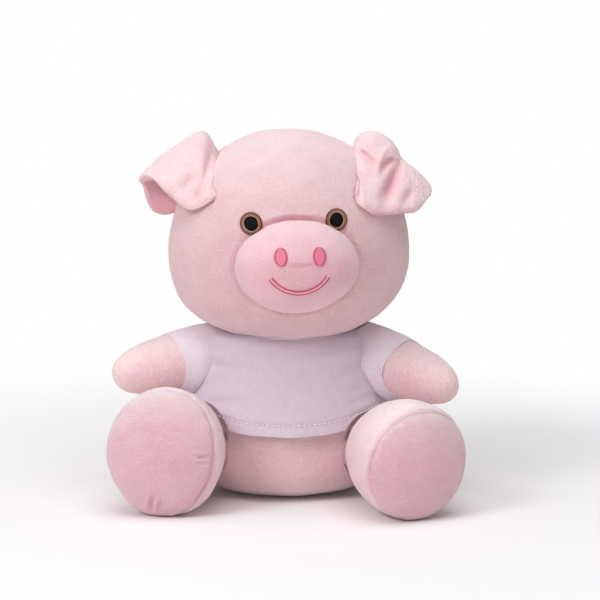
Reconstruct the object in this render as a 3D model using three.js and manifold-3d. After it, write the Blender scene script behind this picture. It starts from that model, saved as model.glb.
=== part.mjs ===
// A sitting plush pig in a white jersey T-shirt.
// Millimetres, +Z up. The pig sits on Z = 0 and faces -Y. Left and right are the pig's own, so
// its left side is +X. Every soft form is an egg: a turned outline with a widest ring, which a
// limb then bends along its own path. Covers are walls of such a form and the stuffing fills them.
import * as THREE from 'three';
import { mergeVertices } from 'three/addons/utils/BufferGeometryUtils.js';
import Module from 'manifold-3d';

const wasm = await Module();
wasm.setup();
const { Vector2, Vector3, Matrix4 } = THREE;
const radians = THREE.MathUtils.degToRad;

// Fits and walls
const seamGap = 0.3; // between two pieces that are sewn or laid together
const turningGap = 1.4; // round a limb that turns in its seam, before the socket's flats
const stuffingGap = 3.5; // the same where the stuffing makes room for it
const neckGap = 1.1; // between the turning head and the shirt's neckband
const plushWall = 2; // plush cover with its pile
const jerseyWall = 1.4; // shirt jersey as it lies, with its slack
const threadHeight = 0.7; // embroidery above the plush
const seatCut = 0.5; // depth of the flat that each form stands on

// Body: a pear with its seat on the floor
const bodyHalfWidth = 50;
const bodyHalfDepth = 40;
const bodyWidestHeight = 24;
const bodyRise = 63.9; // from the widest ring to the top of the whole egg
const neckHeight = 82; // the seam between body and head
const pelletBagHalfWidth = 34;
const pelletBagHalfDepth = 26;
const pelletBagHeight = 22;

// Head: an egg that sits on the neck seam
const headHalfWidth = 59.6;
const headHalfDepth = 54;
const headRise = 60; // above its widest ring
const headDrop = 44; // below its widest ring
const neckHalfWidth = 30;
const headForward = 5; // towards the front from the body's middle
const headSideways = 1;

// Face, measured from the middle of the head's widest ring
const faceTurn = 4; // degrees towards the pig's left
const faceRoll = 2.2; // degrees, left eye higher
const eyeSpacing = 40.4;
const eyeRise = 20.5;
const eyeRingRadius = 5.3;
const pupilRadius = 3.05;
const muzzleHalfWidth = 29.6;
const muzzleHalfHeight = 22.5;
const muzzleReach = 27; // of the dome, from its widest ring
const muzzleSink = 8; // of that ring behind the head's front
const muzzleDrop = 1.2; // below the head's widest ring
const muzzleSideways = 0.6; // towards the pig's left of the eyes' middle
const nostrilSpacing = 18.1;
const nostrilRise = 7; // above the muzzle's middle
const nostrilHalfWidth = 3;
const nostrilHalfHeight = 4.3;
const smileRadius = 16;
const smileHalfAngle = 57; // degrees
const smileThickness = 2;
const smileDrop = 9.6; // of the smile's lowest point under the muzzle's middle

// Ears: two sewn panels, folded over a ridge
const earReach = 36; // outwards from the root
const earHeight = 38;
const earDepth = 34;
const earRootSideways = 38.5; // from the head's middle
const earRootRise = 38.6; // above the head's widest ring
const earRootForward = 18.5; // before the head's middle
const earRootSlope = 33; // degrees, of the root's line, which climbs towards the back
const earLift = { least: -3, most: 25 }; // degrees
const pleatHeight = 1.8; // of the left ear's gathers

// Arms and sleeves
const shoulderSpread = 43; // half the distance between the shoulders
const shoulderHeight = 67.4;
const shoulderForward = 6;
const armRadius = 15;
const armRoot = 8; // of the arm inwards from the shoulder's middle
// Angles in degrees: how far each arm points to the front and down. The droop lifts its middle.
const rightArm = { length: 46, forwardTurn: 22, downTurn: 8, droop: 1 };
const leftArm = { length: 48.5, forwardTurn: 32, downTurn: 15, droop: 1.5 };
const armSwing = { least: -4, most: 32 }; // degrees, raised from rest
const sleeveSlack = 0.4; // between arm and sleeve
const sleeveLength = 22; // from the shoulder's middle to the cuff
const sleeveStart = -4; // from the shoulder's middle outwards

// Legs and soles
const hipSpread = 52; // half the distance between the hips
const hipForward = 20;
const hipHeight = 21.5;
const legSwing = { least: -6, most: 12 }; // degrees, spread from rest
const legBack = 20; // of the leg behind the hip's middle
// The reach runs from the hip to the foot's widest ring at the spread angle. The sole turns
// outwards by its own angle, over the length of the lead.
const rightLeg = {
  halfWidth: 28, halfHeight: 31, reach: 39, spreadAngle: 9.5, soleTurn: 7, soleLead: 18,
};
const leftLeg = {
  halfWidth: 27.6, halfHeight: 28.6, reach: 46, spreadAngle: 11.5, soleTurn: 30, soleLead: 18,
};
const soleReach = 14; // of the domed sole before the widest ring
const soleSeamReach = 3; // of the sole's seam before the widest ring

// Shirt
const hemHeight = 36;
const hemFlare = 2.6; // how far the hem stands off the body
const shirtSlack = 0.5; // between the body and the shirt at the shoulders
const neckbandHeight = 4.4;
const neckbandWall = 2;

// Tail: one open curl
const tailHeight = 26; // of its root
const tailRadius = 2.6;
const curlRadius = 5.6;
const curlPitch = 13;
const curlOpeningShare = 0.3; // of the tail's length, over which its curl opens
const curlTurns = 1.2;
const tailSwing = { least: -15, most: 15 }; // degrees

const longReach = 400; // of a cutter that removes a whole side

// How finely a form is faceted
const fine = { sides: 28, rows: 14 };
const limbDetail = { sides: 20, rows: 12 };
const armDetail = { sides: 16, rows: 10 };
const inside = { sides: 16, rows: 8 };
const armSocketDetail = { sides: 14, rows: 8 };
const legSocketDetail = { sides: 16, rows: 9 };
const roomDetail = { sides: 10, rows: 6 };
const shirtSides = { sides: 28, rows: 12 };
const earDetail = { across: 8, along: 8 };
const tailDetail = { sides: 8, rows: 24 };
const legStep = 9; // degrees between the places that a socket is cut from
const wideStep = 36;

const finish = (color, roughness) => new THREE.MeshStandardMaterial({ color, roughness, metalness: 0 });
const finishes = {
  plush: finish(0xf3c3ca, 0.95),
  muzzlePlush: finish(0xf0aebb, 0.95),
  solePlush: finish(0xe9a3b6, 0.95),
  earLining: finish(0xf09dab, 0.95),
  jersey: finish(0xe9e4ee, 0.9),
  fibre: finish(0xf4f2ee, 1),
  pelletCloth: finish(0xd9d6cf, 0.95),
  brownThread: finish(0x7a5638, 0.6),
  blackThread: finish(0x17110f, 0.5),
  pinkThread: finish(0xe0728f, 0.6),
};

// Solids

/** The same surface with its corners shared, without slivers, and with its faces turned out. */
function tidied(geometry) {
  const bare = geometry.clone();
  bare.deleteAttribute('normal');
  bare.deleteAttribute('uv');
  const merged = mergeVertices(bare);
  const corners = merged.index.array;
  const faces = [];
  for (let at = 0; at < corners.length; at += 3) {
    const [a, b, c] = corners.slice(at, at + 3);
    if (a !== b && b !== c && c !== a) faces.push(a, b, c);
  }
  merged.setIndex(faces);
  if (signedVolume(merged) < 0) merged.setIndex(faces.reverse());
  return merged;
}

function signedVolume(geometry) {
  const corner = (at) => new Vector3().fromBufferAttribute(geometry.attributes.position, at);
  const order = geometry.index.array;
  let total = 0;
  for (let at = 0; at < order.length; at += 3) {
    const [a, b, c] = [corner(order[at]), corner(order[at + 1]), corner(order[at + 2])];
    total += a.dot(b.cross(c)) / 6;
  }
  return total;
}

/** The surface moved out along its own normals, or in where the distance is negative. */
function grown(geometry, distance) {
  const out = geometry.clone();
  out.computeVertexNormals();
  const { position, normal } = out.attributes;
  for (let at = 0; at < position.count; at += 1) {
    const moved = new Vector3().fromBufferAttribute(normal, at).multiplyScalar(distance);
    moved.add(new Vector3().fromBufferAttribute(position, at));
    position.setXYZ(at, ...moved);
  }
  out.deleteAttribute('normal');
  return out;
}

function solid(geometry) {
  const closed = tidied(geometry);
  return new wasm.Manifold(new wasm.Mesh({
    numProp: 3,
    vertProperties: Float32Array.from(closed.attributes.position.array),
    triVerts: Uint32Array.from(closed.index.array),
  }));
}

function geometryOf(manifold) {
  const { vertProperties, triVerts } = manifold.getMesh();
  const out = new THREE.BufferGeometry();
  out.setAttribute('position', new THREE.BufferAttribute(Float32Array.from(vertProperties), 3));
  out.setIndex(Array.from(triVerts));
  return out;
}

/** A block from one corner to the other, as a cutter. */
function block(low, high) {
  const size = new Vector3().subVectors(high, low);
  const middle = new Vector3().addVectors(low, high).multiplyScalar(0.5);
  return solid(new THREE.BoxGeometry(...size).translate(...middle));
}

const far = (x, y, z) => new Vector3(x, y, z).multiplyScalar(longReach);

/** Everything below a height, or above it. */
const below = (height) => block(far(-1, -1, -1), far(1, 1, 0).setZ(height));
const above = (height) => block(far(-1, -1, 0).setZ(height), far(1, 1, 1));

/** A geometry turned about a line through the pivot. */
function turned(geometry, pivot, axis, degrees) {
  const turn = new Matrix4().makeTranslation(...pivot)
    .multiply(new Matrix4().makeRotationAxis(axis, radians(degrees)))
    .multiply(new Matrix4().makeTranslation(...pivot.clone().negate()));
  return geometry.clone().applyMatrix4(turn);
}

/** The whole space that a form sweeps as it turns through its range, in steps of some degrees. */
function swept(geometry, pivot, axis, range, largestStep) {
  const steps = Math.ceil((range.most - range.least) / largestStep);
  const places = Array.from({ length: steps + 1 }, (_, step) => (
    range.least + (range.most - range.least) * step / steps));
  return places.map((angle) => solid(turned(geometry, pivot, axis, angle)))
    .reduce((sum, next) => sum.add(next));
}

// Forms

/** The outline of an egg, from its tip at the top to the one at the bottom. */
function eggOutline(egg, rows) {
  return Array.from({ length: rows + 1 }, (_, row) => {
    const angle = Math.PI * (row / rows - 0.5);
    const [reach, power] = angle > 0 ? [egg.rise, egg.risePowerShare] : [-egg.drop, egg.dropPowerShare];
    const out = row % rows ? egg.halfWidth * Math.cos(angle) ** power : 0;
    return new Vector2(out, reach * Math.abs(Math.sin(angle)) ** power);
  });
}

/** An egg about the Z axis, its widest ring at height zero. */
function eggForm(egg, { sides, rows }) {
  const form = new THREE.LatheGeometry(eggOutline(egg, rows), sides);
  form.rotateX(Math.PI / 2);
  form.scale(1, egg.halfDepth / egg.halfWidth, 1);
  return tidied(form);
}

/** A form about the Z axis laid along a path, with its length kept past both ends. */
function bent(form, path, hint) {
  const length = path.getLength();
  const position = form.attributes.position;
  for (let at = 0; at < position.count; at += 1) {
    const point = new Vector3().fromBufferAttribute(position, at);
    const along = THREE.MathUtils.clamp(point.z / length, 0, 1);
    const ahead = path.getTangentAt(along);
    const side = new Vector3().crossVectors(ahead, hint).normalize();
    const up = new Vector3().crossVectors(side, ahead);
    const placed = path.getPointAt(along)
      .addScaledVector(ahead, point.z - along * length)
      .addScaledVector(side, point.x)
      .addScaledVector(up, point.y);
    position.setXYZ(at, ...placed);
  }
  return tidied(form);
}

/** A sheet of cloth with a thickness, from a surface given by two shares from 0 to 1. */
function sheetForm(surface, innerSide, outerSide, { across, along }) {
  const nudge = 0.002;
  const corners = [];
  for (const side of [innerSide, outerSide]) {
    for (let row = 0; row <= along; row += 1) {
      for (let column = 0; column <= across; column += 1) {
        const [u, v] = [column / across, row / along];
        const [u0, u1] = [Math.max(u - nudge, 0), Math.min(u + nudge, 1)];
        const [v0, v1] = [Math.max(v - nudge, 0), Math.min(v + nudge, 1)];
        const normal = surface(u1, v).sub(surface(u0, v))
          .cross(surface(u, v1).sub(surface(u, v0))).normalize();
        corners.push(surface(u, v).addScaledVector(normal, side));
      }
    }
  }
  const width = across + 1;
  const layer = width * (along + 1);
  const faces = [];
  const quad = (a, b, c, d) => faces.push(a, b, c, a, c, d);
  for (let row = 0; row < along; row += 1) {
    for (let column = 0; column < across; column += 1) {
      const at = row * width + column;
      quad(at, at + width, at + width + 1, at + 1);
      quad(layer + at, layer + at + 1, layer + at + width + 1, layer + at + width);
    }
    const [first, last] = [row * width, row * width + across];
    quad(first, layer + first, layer + first + width, first + width);
    quad(last, last + width, layer + last + width, layer + last);
  }
  for (let column = 0; column < across; column += 1) {
    const top = along * width + column;
    quad(column, column + 1, layer + column + 1, layer + column);
    quad(top, layer + top, layer + top + 1, top + 1);
  }
  const out = new THREE.BufferGeometry().setFromPoints(corners);
  out.setIndex(faces);
  return tidied(out);
}

// The body's own egg. The power shares shape an outline: 1 is round, less is squarer.
const bodyEgg = {
  halfWidth: bodyHalfWidth, halfDepth: bodyHalfDepth, rise: bodyRise,
  drop: bodyWidestHeight + seatCut, risePowerShare: 0.714, dropPowerShare: 0.625,
};
const bodyForm = (detail) => eggForm(bodyEgg, detail).translate(0, 0, bodyWidestHeight);

// The head's widest ring stands where its underside meets the neck seam.
const headEgg = {
  halfWidth: headHalfWidth, halfDepth: headHalfDepth, rise: headRise,
  drop: headDrop, risePowerShare: 1, dropPowerShare: 0.87,
};
const neckShare = (1 - (neckHalfWidth / headHalfWidth) ** (2 / headEgg.dropPowerShare))
  ** (headEgg.dropPowerShare / 2);
const headMiddle = new Vector3(headSideways, -headForward, neckHeight + headDrop * neckShare);
const headForm = (detail) => eggForm(headEgg, detail).translate(...headMiddle);

// The face's own directions: across, up and out of the head.
const faceOut = new Vector3(Math.sin(radians(faceTurn)), -Math.cos(radians(faceTurn)), 0);
const faceAcross = new Vector3(-faceOut.y, faceOut.x, 0)
  .applyAxisAngle(faceOut, radians(faceRoll));
const faceUp = new Vector3().crossVectors(faceOut, faceAcross);

/** A geometry moved from the face's plane, with Z out of the head, to its place on the head. */
function onFace(geometry, across, up, out = 0) {
  const at = headMiddle.clone()
    .addScaledVector(faceAcross, across)
    .addScaledVector(faceUp, up)
    .addScaledVector(faceOut, out);
  return geometry.applyMatrix4(new Matrix4().makeBasis(faceAcross, faceUp, faceOut).setPosition(at));
}

const muzzleEgg = {
  halfWidth: muzzleHalfWidth, halfDepth: muzzleHalfHeight, rise: muzzleReach,
  drop: muzzleReach, risePowerShare: 0.9, dropPowerShare: 1,
};
const muzzleForm = (detail) => tidied(onFace(
  eggForm(muzzleEgg, detail), muzzleSideways, -muzzleDrop, headHalfDepth - muzzleSink));

// Pieces and their groups

const pig = new THREE.Group();

/** A group for the pieces that move together, placed at their joint. */
function bodyGroup(pivot) {
  const group = new THREE.Group();
  group.position.copy(pivot);
  pig.add(group);
  return group;
}

/** One piece, made from a solid in the pig's own frame. */
function addPiece(group, name, shape, material) {
  const geometry = geometryOf(shape).translate(...group.position.clone().negate());
  geometry.computeVertexNormals();
  const mesh = new THREE.Mesh(geometry, material);
  mesh.name = name;
  group.add(mesh);
}

/** A plush cover's solid: the form's wall, open where the mouth cuts it. */
function cover(form, lining, mouth) {
  return solid(form).subtract(solid(grown(lining, -plushWall))).subtract(mouth);
}

/** The stuffing that fills a cover. */
const stuffing = (lining) => solid(grown(lining, -plushWall - seamGap));

// Limbs

const floorCut = below(0);
const raised = new Vector3(0, 0, 1);
const headSolid = solid(grown(headForm(fine), seamGap));

/** An arm with its sleeve, which swings about a front-to-back line through the shoulder. */
function makeArm(side, name, { length, forwardTurn, downTurn, droop }) {
  const shoulder = new Vector3(side * shoulderSpread, -shoulderForward, shoulderHeight);
  const axis = new Vector3(0, -side, 0);
  const out = new Vector3(
    side * Math.cos(radians(forwardTurn)) * Math.cos(radians(downTurn)),
    -Math.sin(radians(forwardTurn)) * Math.cos(radians(downTurn)),
    -Math.sin(radians(downTurn)),
  );
  const end = shoulder.clone().addScaledVector(out, length);
  const elbow = shoulder.clone().addScaledVector(out, length / 2).setZ(
    (shoulder.z + end.z) / 2 + droop);
  const path = new THREE.QuadraticBezierCurve3(shoulder, elbow, end);
  const egg = {
    halfWidth: armRadius, halfDepth: armRadius, rise: path.getLength(), drop: armRoot,
    risePowerShare: 0.8, dropPowerShare: 1.3,
  };
  const form = (detail) => bent(eggForm(egg, detail), path, raised);
  const limb = form(armDetail);
  const lining = form(inside);
  const sleeveOuter = grown(limb, sleeveSlack + jerseyWall);
  const between = (start, stop) => {
    const drum = new THREE.CylinderGeometry(longReach, longReach, stop - start);
    drum.rotateX(Math.PI / 2).translate(0, 0, (start + stop) / 2);
    const turn = new THREE.Quaternion().setFromUnitVectors(raised, path.getTangentAt(0));
    return solid(drum.applyQuaternion(turn).translate(...shoulder));
  };
  const mouth = between(-longReach, -armRoot + plushWall * 2);
  const bareRoom = solid(grown(form(armSocketDetail), turningGap));
  const sleeveRoom = solid(grown(form(armSocketDetail), sleeveSlack + jerseyWall + turningGap))
    .intersect(between(sleeveStart - turningGap, longReach));
  return {
    name, shoulder, side,
    space: swept(geometryOf(bareRoom.add(sleeveRoom)), shoulder, axis, armSwing, wideStep),
    room: swept(grown(form(roomDetail), sleeveSlack + jerseyWall + stuffingGap),
      shoulder, axis, armSwing, wideStep),
    skin: cover(limb, lining, mouth),
    core: stuffing(lining),
    sleeve: solid(sleeveOuter).subtract(solid(grown(limb, sleeveSlack)))
      .intersect(between(sleeveStart, sleeveLength)),
  };
}

/** A leg with its sole, which swings about an upright line through the hip. */
function makeLeg(side, name, { halfWidth, halfHeight, reach, spreadAngle, soleTurn, soleLead }) {
  const hip = new Vector3(side * hipSpread, -hipForward, hipHeight);
  const axis = new Vector3(0, 0, side);
  const heading = (degrees) => new Vector3(
    side * Math.sin(radians(degrees)), -Math.cos(radians(degrees)), 0);
  const foot = hip.clone().addScaledVector(heading(spreadAngle), reach)
    .setZ(halfHeight - seatCut);
  const knee = foot.clone().addScaledVector(heading(soleTurn), -soleLead);
  const path = new THREE.QuadraticBezierCurve3(hip, knee, foot);
  const egg = {
    halfWidth, halfDepth: halfHeight, rise: soleReach, drop: path.getLength() + legBack,
    risePowerShare: 0.9, dropPowerShare: 1.08,
  };
  const form = (detail) => bent(
    eggForm(egg, detail).translate(0, 0, path.getLength()), path, raised);
  const limb = form(limbDetail);
  const lining = form(inside);
  const soleWay = path.getTangentAt(1);
  const past = (start) => {
    const drum = new THREE.CylinderGeometry(longReach, longReach, longReach);
    drum.rotateX(Math.PI / 2).translate(0, 0, start + longReach / 2);
    const turn = new THREE.Quaternion().setFromUnitVectors(raised, soleWay);
    return solid(drum.applyQuaternion(turn).translate(...foot));
  };
  const rootMouth = solid(new THREE.SphereGeometry(legBack / 2)
    .translate(...hip.clone().addScaledVector(path.getTangentAt(0), -legBack)));
  const wall = cover(limb, lining, floorCut);
  return {
    name, hip, side,
    space: swept(grown(form(legSocketDetail), turningGap), hip, axis, legSwing, legStep),
    room: swept(grown(form(roomDetail), stuffingGap), hip, axis, legSwing, wideStep),
    skin: wall.subtract(past(soleSeamReach)).subtract(rootMouth),
    sole: wall.intersect(past(soleSeamReach + seamGap)),
    core: stuffing(lining).subtract(below(plushWall)),
  };
}

const arms = [makeArm(-1, 'right', rightArm), makeArm(1, 'left', leftArm)];
const legs = [makeLeg(-1, 'right', rightLeg), makeLeg(1, 'left', leftLeg)];
const limbs = [...arms, ...legs];
const limbSpace = limbs.map((limb) => limb.space).reduce((sum, next) => sum.add(next));
const limbRoom = limbs.map((limb) => limb.room).reduce((sum, next) => sum.add(next));

// Body, its stuffing and its pellet bag

const bodyFine = bodyForm(fine);
const bodyInside = bodyForm(inside);
const bodyGroupAt = bodyGroup(new Vector3(0, 0, 0));
const bagEgg = {
  halfWidth: pelletBagHalfWidth, halfDepth: pelletBagHalfDepth, rise: pelletBagHeight,
  drop: pelletBagHeight, risePowerShare: 0.8, dropPowerShare: 0.8,
};
const bagForm = eggForm(bagEgg, inside);
const bodyCore = stuffing(bodyInside)
  .subtract(below(plushWall + seamGap))
  .subtract(above(neckHeight - seamGap))
  .subtract(limbRoom);
addPiece(bodyGroupAt, 'body_skin', cover(bodyFine, bodyInside, floorCut)
  .add(solid(bodyFine).intersect(below(plushWall)).subtract(floorCut))
  .subtract(above(neckHeight - seamGap)).subtract(limbSpace), finishes.plush);
addPiece(bodyGroupAt, 'body_stuffing',
  bodyCore.subtract(solid(grown(bagForm, seamGap))), finishes.fibre);
addPiece(bodyGroupAt, 'seat_pellet_bag', bodyCore.intersect(solid(bagForm)), finishes.pelletCloth);

// Shirt: a front and a back panel that meet below the shoulders, a neckband and two sleeves

/** The shirt's egg: the body's own, eased off it towards the hem. */
function shirtForm(standOff) {
  const form = grown(bodyForm(shirtSides), shirtSlack);
  const position = form.attributes.position;
  for (let at = 0; at < position.count; at += 1) {
    const share = THREE.MathUtils.clamp(
      (neckHeight - position.getZ(at)) / (neckHeight - hemHeight), 0, 1);
    const spread = 1 + hemFlare * share ** 2 / bodyHalfDepth;
    position.setX(at, position.getX(at) * spread);
    position.setY(at, position.getY(at) * spread);
  }
  return solid(grown(form, standOff));
}

const neckbandTop = neckHeight + neckbandHeight / 2;
const neckbandFoot = neckbandTop - neckbandHeight;
const headSpace = solid(grown(headForm(fine), neckGap));
const neckSpace = above(neckbandFoot - seamGap);
const shirtWall = shirtForm(jerseyWall).subtract(shirtForm(0))
  .subtract(below(hemHeight)).subtract(neckSpace)
  .subtract(limbSpace).subtract(headSpace);
const beforeSeam = block(far(-1, -1, -1), far(1, 0, 1).setY(-shoulderForward - seamGap / 2));
const behindSeam = block(far(-1, 0, -1).setY(-shoulderForward + seamGap / 2), far(1, 1, 1));
addPiece(bodyGroupAt, 'shirt_front', shirtWall.intersect(beforeSeam), finishes.jersey);
addPiece(bodyGroupAt, 'shirt_back', shirtWall.intersect(behindSeam), finishes.jersey);

/** A turned ring with an oval plan, standing on the body's shoulders. */
function neckbandForm() {
  const shoulder = bodyHalfWidth * (1 - ((neckbandFoot - bodyWidestHeight) / bodyRise)
    ** (2 / bodyEgg.risePowerShare)) ** (bodyEgg.risePowerShare / 2);
  const inner = shoulder + shirtSlack;
  const outer = inner + neckbandWall;
  const section = [
    new Vector2(inner, neckbandFoot), new Vector2(outer, neckbandFoot),
    new Vector2(outer + neckbandWall / 4, (neckbandFoot + neckbandTop) / 2),
    new Vector2(outer, neckbandTop), new Vector2(inner, neckbandTop),
    new Vector2(inner, neckbandFoot),
  ];
  const ring = new THREE.LatheGeometry(section, shirtSides.sides);
  ring.rotateX(Math.PI / 2).scale(1, bodyHalfDepth / bodyHalfWidth, 1);
  return ring;
}
addPiece(bodyGroupAt, 'shirt_neckband',
  solid(neckbandForm()).subtract(headSpace).subtract(limbSpace), finishes.jersey);

for (const arm of arms) {
  const group = bodyGroup(arm.shoulder);
  addPiece(group, `${arm.name}_arm_skin`, arm.skin, finishes.plush);
  addPiece(group, `${arm.name}_arm_stuffing`, arm.core, finishes.fibre);
  addPiece(group, `${arm.name}_sleeve`, arm.sleeve, finishes.jersey);
}
for (const leg of legs) {
  const group = bodyGroup(leg.hip);
  addPiece(group, `${leg.name}_leg_skin`, leg.skin, finishes.plush);
  addPiece(group, `${leg.name}_leg_stuffing`, leg.core, finishes.fibre);
  addPiece(group, `${leg.name}_sole`, leg.sole, finishes.solePlush);
}

// Head, muzzle and face

const headGroup = bodyGroup(new Vector3(headSideways, -headForward, neckHeight));
const neckCut = below(neckHeight);
const headInside = headForm(inside);
addPiece(headGroup, 'head_skin', cover(headForm(fine), headInside, neckCut), finishes.plush);
addPiece(headGroup, 'head_stuffing', stuffing(headInside).subtract(neckCut), finishes.fibre);

const muzzleOuter = muzzleForm(limbDetail);
const muzzleInside = muzzleForm(inside);
addPiece(headGroup, 'muzzle_skin', cover(muzzleOuter, muzzleInside, headSolid), finishes.muzzlePlush);
addPiece(headGroup, 'muzzle_stuffing', stuffing(muzzleInside).subtract(headSolid), finishes.fibre);

/** Thread lying on a form, in the outline that a cutter gives it, clear of what is beside it. */
function embroidery(form, outline, beside) {
  return outline.intersect(solid(grown(form, seamGap + threadHeight)))
    .subtract(solid(grown(form, seamGap))).subtract(beside);
}

/** A round or oval cutter that passes through the face from outside. */
function facePeg(halfWidth, halfHeight, across, up) {
  const pegSides = 14;
  const reach = headHalfDepth + muzzleReach;
  const peg = new THREE.CylinderGeometry(halfWidth, halfWidth, reach, pegSides)
    .rotateX(Math.PI / 2).scale(1, halfHeight / halfWidth, 1);
  return solid(onFace(peg, across, up, reach / 2));
}

const headSurface = headForm(fine);
const muzzleSpace = solid(grown(muzzleOuter, seamGap));
for (const [side, name] of [[-1, 'right'], [1, 'left']]) {
  const across = side * eyeSpacing / 2;
  const wholeEye = facePeg(eyeRingRadius, eyeRingRadius, across, eyeRise);
  const pupilHole = facePeg(pupilRadius + seamGap, pupilRadius + seamGap, across, eyeRise);
  const pupil = facePeg(pupilRadius, pupilRadius, across, eyeRise);
  addPiece(headGroup, `${name}_eye_ring`,
    embroidery(headSurface, wholeEye.subtract(pupilHole), muzzleSpace), finishes.brownThread);
  addPiece(headGroup, `${name}_pupil`,
    embroidery(headSurface, pupil, muzzleSpace), finishes.blackThread);
  const nostril = facePeg(
    nostrilHalfWidth, nostrilHalfHeight,
    muzzleSideways + side * nostrilSpacing / 2, nostrilRise - muzzleDrop);
  addPiece(headGroup, `${name}_nostril`, embroidery(muzzleOuter, nostril, headSolid), finishes.pinkThread);
}

/** The smile's outline: an arc band, open upwards. */
function smileCutter() {
  const [start, stop] = [radians(-90 - smileHalfAngle), radians(-90 + smileHalfAngle)];
  const band = new THREE.Shape();
  band.absarc(0, 0, smileRadius + smileThickness / 2, start, stop, false);
  band.absarc(0, 0, smileRadius - smileThickness / 2, stop, start, true);
  const reach = headHalfDepth + muzzleReach;
  const bandSteps = 8;
  const cutter = new THREE.ExtrudeGeometry(band, {
    depth: reach, bevelEnabled: false, curveSegments: bandSteps,
  });
  return solid(onFace(cutter, muzzleSideways, smileRadius - smileDrop - muzzleDrop));
}
addPiece(headGroup, 'smile', embroidery(muzzleOuter, smileCutter(), headSolid), finishes.pinkThread);

// Ears. Each row of shares holds the three measures of a point from the ear's root: outwards in
// ear reaches, forwards in ear depths and upwards in ear heights.
const earSharesOf = {
  right: {
    back: [[0.82, -0.63, -0.46], [0.57, -0.69, -0.57], [0.35, -0.57, -0.33], [0.07, -0.51, 0.2]],
    ridge: [[0.99, -0.34, -0.13], [0.64, -0.4, 0.18], [0.31, -0.43, 0.37], [0.06, -0.46, 0.5]],
    front: [[0.96, -0.22, -0.21], [0.6, 0.1, -0.33], [0.26, 0.37, -0.42], [-0.03, 0.43, -0.12]],
  },
  left: {
    back: [[0.74, -0.57, -0.38], [0.51, -0.69, -0.49], [0.29, -0.57, -0.33], [-0.04, -0.51, 0.2]],
    ridge: [[0.79, -0.25, -0.2], [0.51, -0.31, 0.17], [0.18, -0.4, 0.5], [-0.11, -0.43, 0.3]],
    front: [[0.8, -0.13, -0.4], [0.57, 0.13, -0.43], [0.22, 0.4, -0.47], [-0.11, 0.51, -0.33]],
  },
};

/** An ear's middle surface: rows from the back edge over the ridge to the front edge. */
function earSurface(side, shares, pleats) {
  const root = headMiddle.clone().add(
    new Vector3(side * earRootSideways, -earRootForward, earRootRise));
  const line = (rows) => new THREE.CatmullRomCurve3(rows.map(([out, forward, up]) => (
    new Vector3(side * out * earReach, -forward * earDepth, up * earHeight).add(root))));
  const [back, ridge, front] = [line(shares.back), line(shares.ridge), line(shares.front)];
  return (u, v) => {
    const [start, middle, stop] = [back.getPoint(u), ridge.getPoint(u), front.getPoint(u)];
    const crown = middle.multiplyScalar(2).addScaledVector(start, -0.5).addScaledVector(stop, -0.5);
    const point = start.multiplyScalar((1 - v) ** 2)
      .addScaledVector(crown, 2 * v * (1 - v))
      .addScaledVector(stop, v ** 2);
    const gather = pleats * pleatHeight * Math.sin(Math.PI * v) * Math.sin(Math.PI * (4 * u + v));
    return point.add(new Vector3(0, -gather, 0));
  };
}

for (const [side, name] of [[-1, 'right'], [1, 'left']]) {
  const root = headMiddle.clone().add(
    new Vector3(side * earRootSideways, -earRootForward, earRootRise));
  const axis = new Vector3(
    0, -side * Math.cos(radians(earRootSlope)), -side * Math.sin(radians(earRootSlope)));
  const group = bodyGroup(root);
  const surface = earSurface(side, earSharesOf[name], side > 0 ? 1 : 0);
  const headWay = swept(grown(headForm(fine), seamGap), root, axis,
    { least: -earLift.most, most: -earLift.least }, wideStep);
  const panel = (inner, outer) => solid(sheetForm(
    surface, -side * inner, -side * outer, earDetail)).subtract(headWay);
  addPiece(group, `${name}_ear_outer`, panel(0, -plushWall), finishes.plush);
  addPiece(group, `${name}_ear_lining`, panel(seamGap, seamGap + plushWall), finishes.earLining);
}

// Tail

class Curl extends THREE.Curve {
  getPoint(share, target = new Vector3()) {
    const angle = share * curlTurns * 2 * Math.PI;
    const radius = curlRadius * THREE.MathUtils.smoothstep(share, 0, curlOpeningShare);
    return target.set(
      radius * Math.sin(angle), share * curlTurns * curlPitch, radius * (1 - Math.cos(angle)));
  }
}
const curl = new Curl();
const tailLength = curl.getLength();
const tailEgg = {
  halfWidth: tailRadius, halfDepth: tailRadius, rise: tailLength / 2, drop: tailLength / 2,
  risePowerShare: 0.35, dropPowerShare: 0.35,
};
const tailAtShare = Math.sqrt(1 - ((tailHeight - bodyWidestHeight) / bodyRise) ** 2);
const tailRoot = new Vector3(0, bodyHalfDepth * tailAtShare, tailHeight);
const tailForm = bent(
  eggForm(tailEgg, tailDetail).translate(0, 0, tailLength / 2), curl, new Vector3(0, 1, 1))
  .translate(...tailRoot);
const tailWay = swept(grown(bodyForm(fine), seamGap), tailRoot, raised,
  { least: -tailSwing.most, most: -tailSwing.least }, wideStep);
addPiece(bodyGroup(tailRoot), 'tail', solid(tailForm).subtract(tailWay), finishes.plush);

/** The least gap between stretches of the tail that lie more than half a turn apart. */
function leastCurlGap() {
  const samples = 200;
  const points = curl.getSpacedPoints(samples);
  const halfTurn = Math.ceil(samples / curlTurns / 2);
  const distances = points.flatMap((point, at) => (
    points.slice(at + halfTurn).map((other) => point.distanceTo(other))));
  return Math.min(...distances) - tailRadius * 2;
}
console.log(`least gap of the tail's curl to itself: ${leastCurlGap().toFixed(2)} mm`);

export default pig;
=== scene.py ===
import logging
import math
from dataclasses import dataclass, field
from enum import Enum
from functools import cache
from typing import Any, Callable, Sequence

import bmesh
import bpy
import numpy as np
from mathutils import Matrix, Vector
from mathutils.bvhtree import BVHTree


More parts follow.
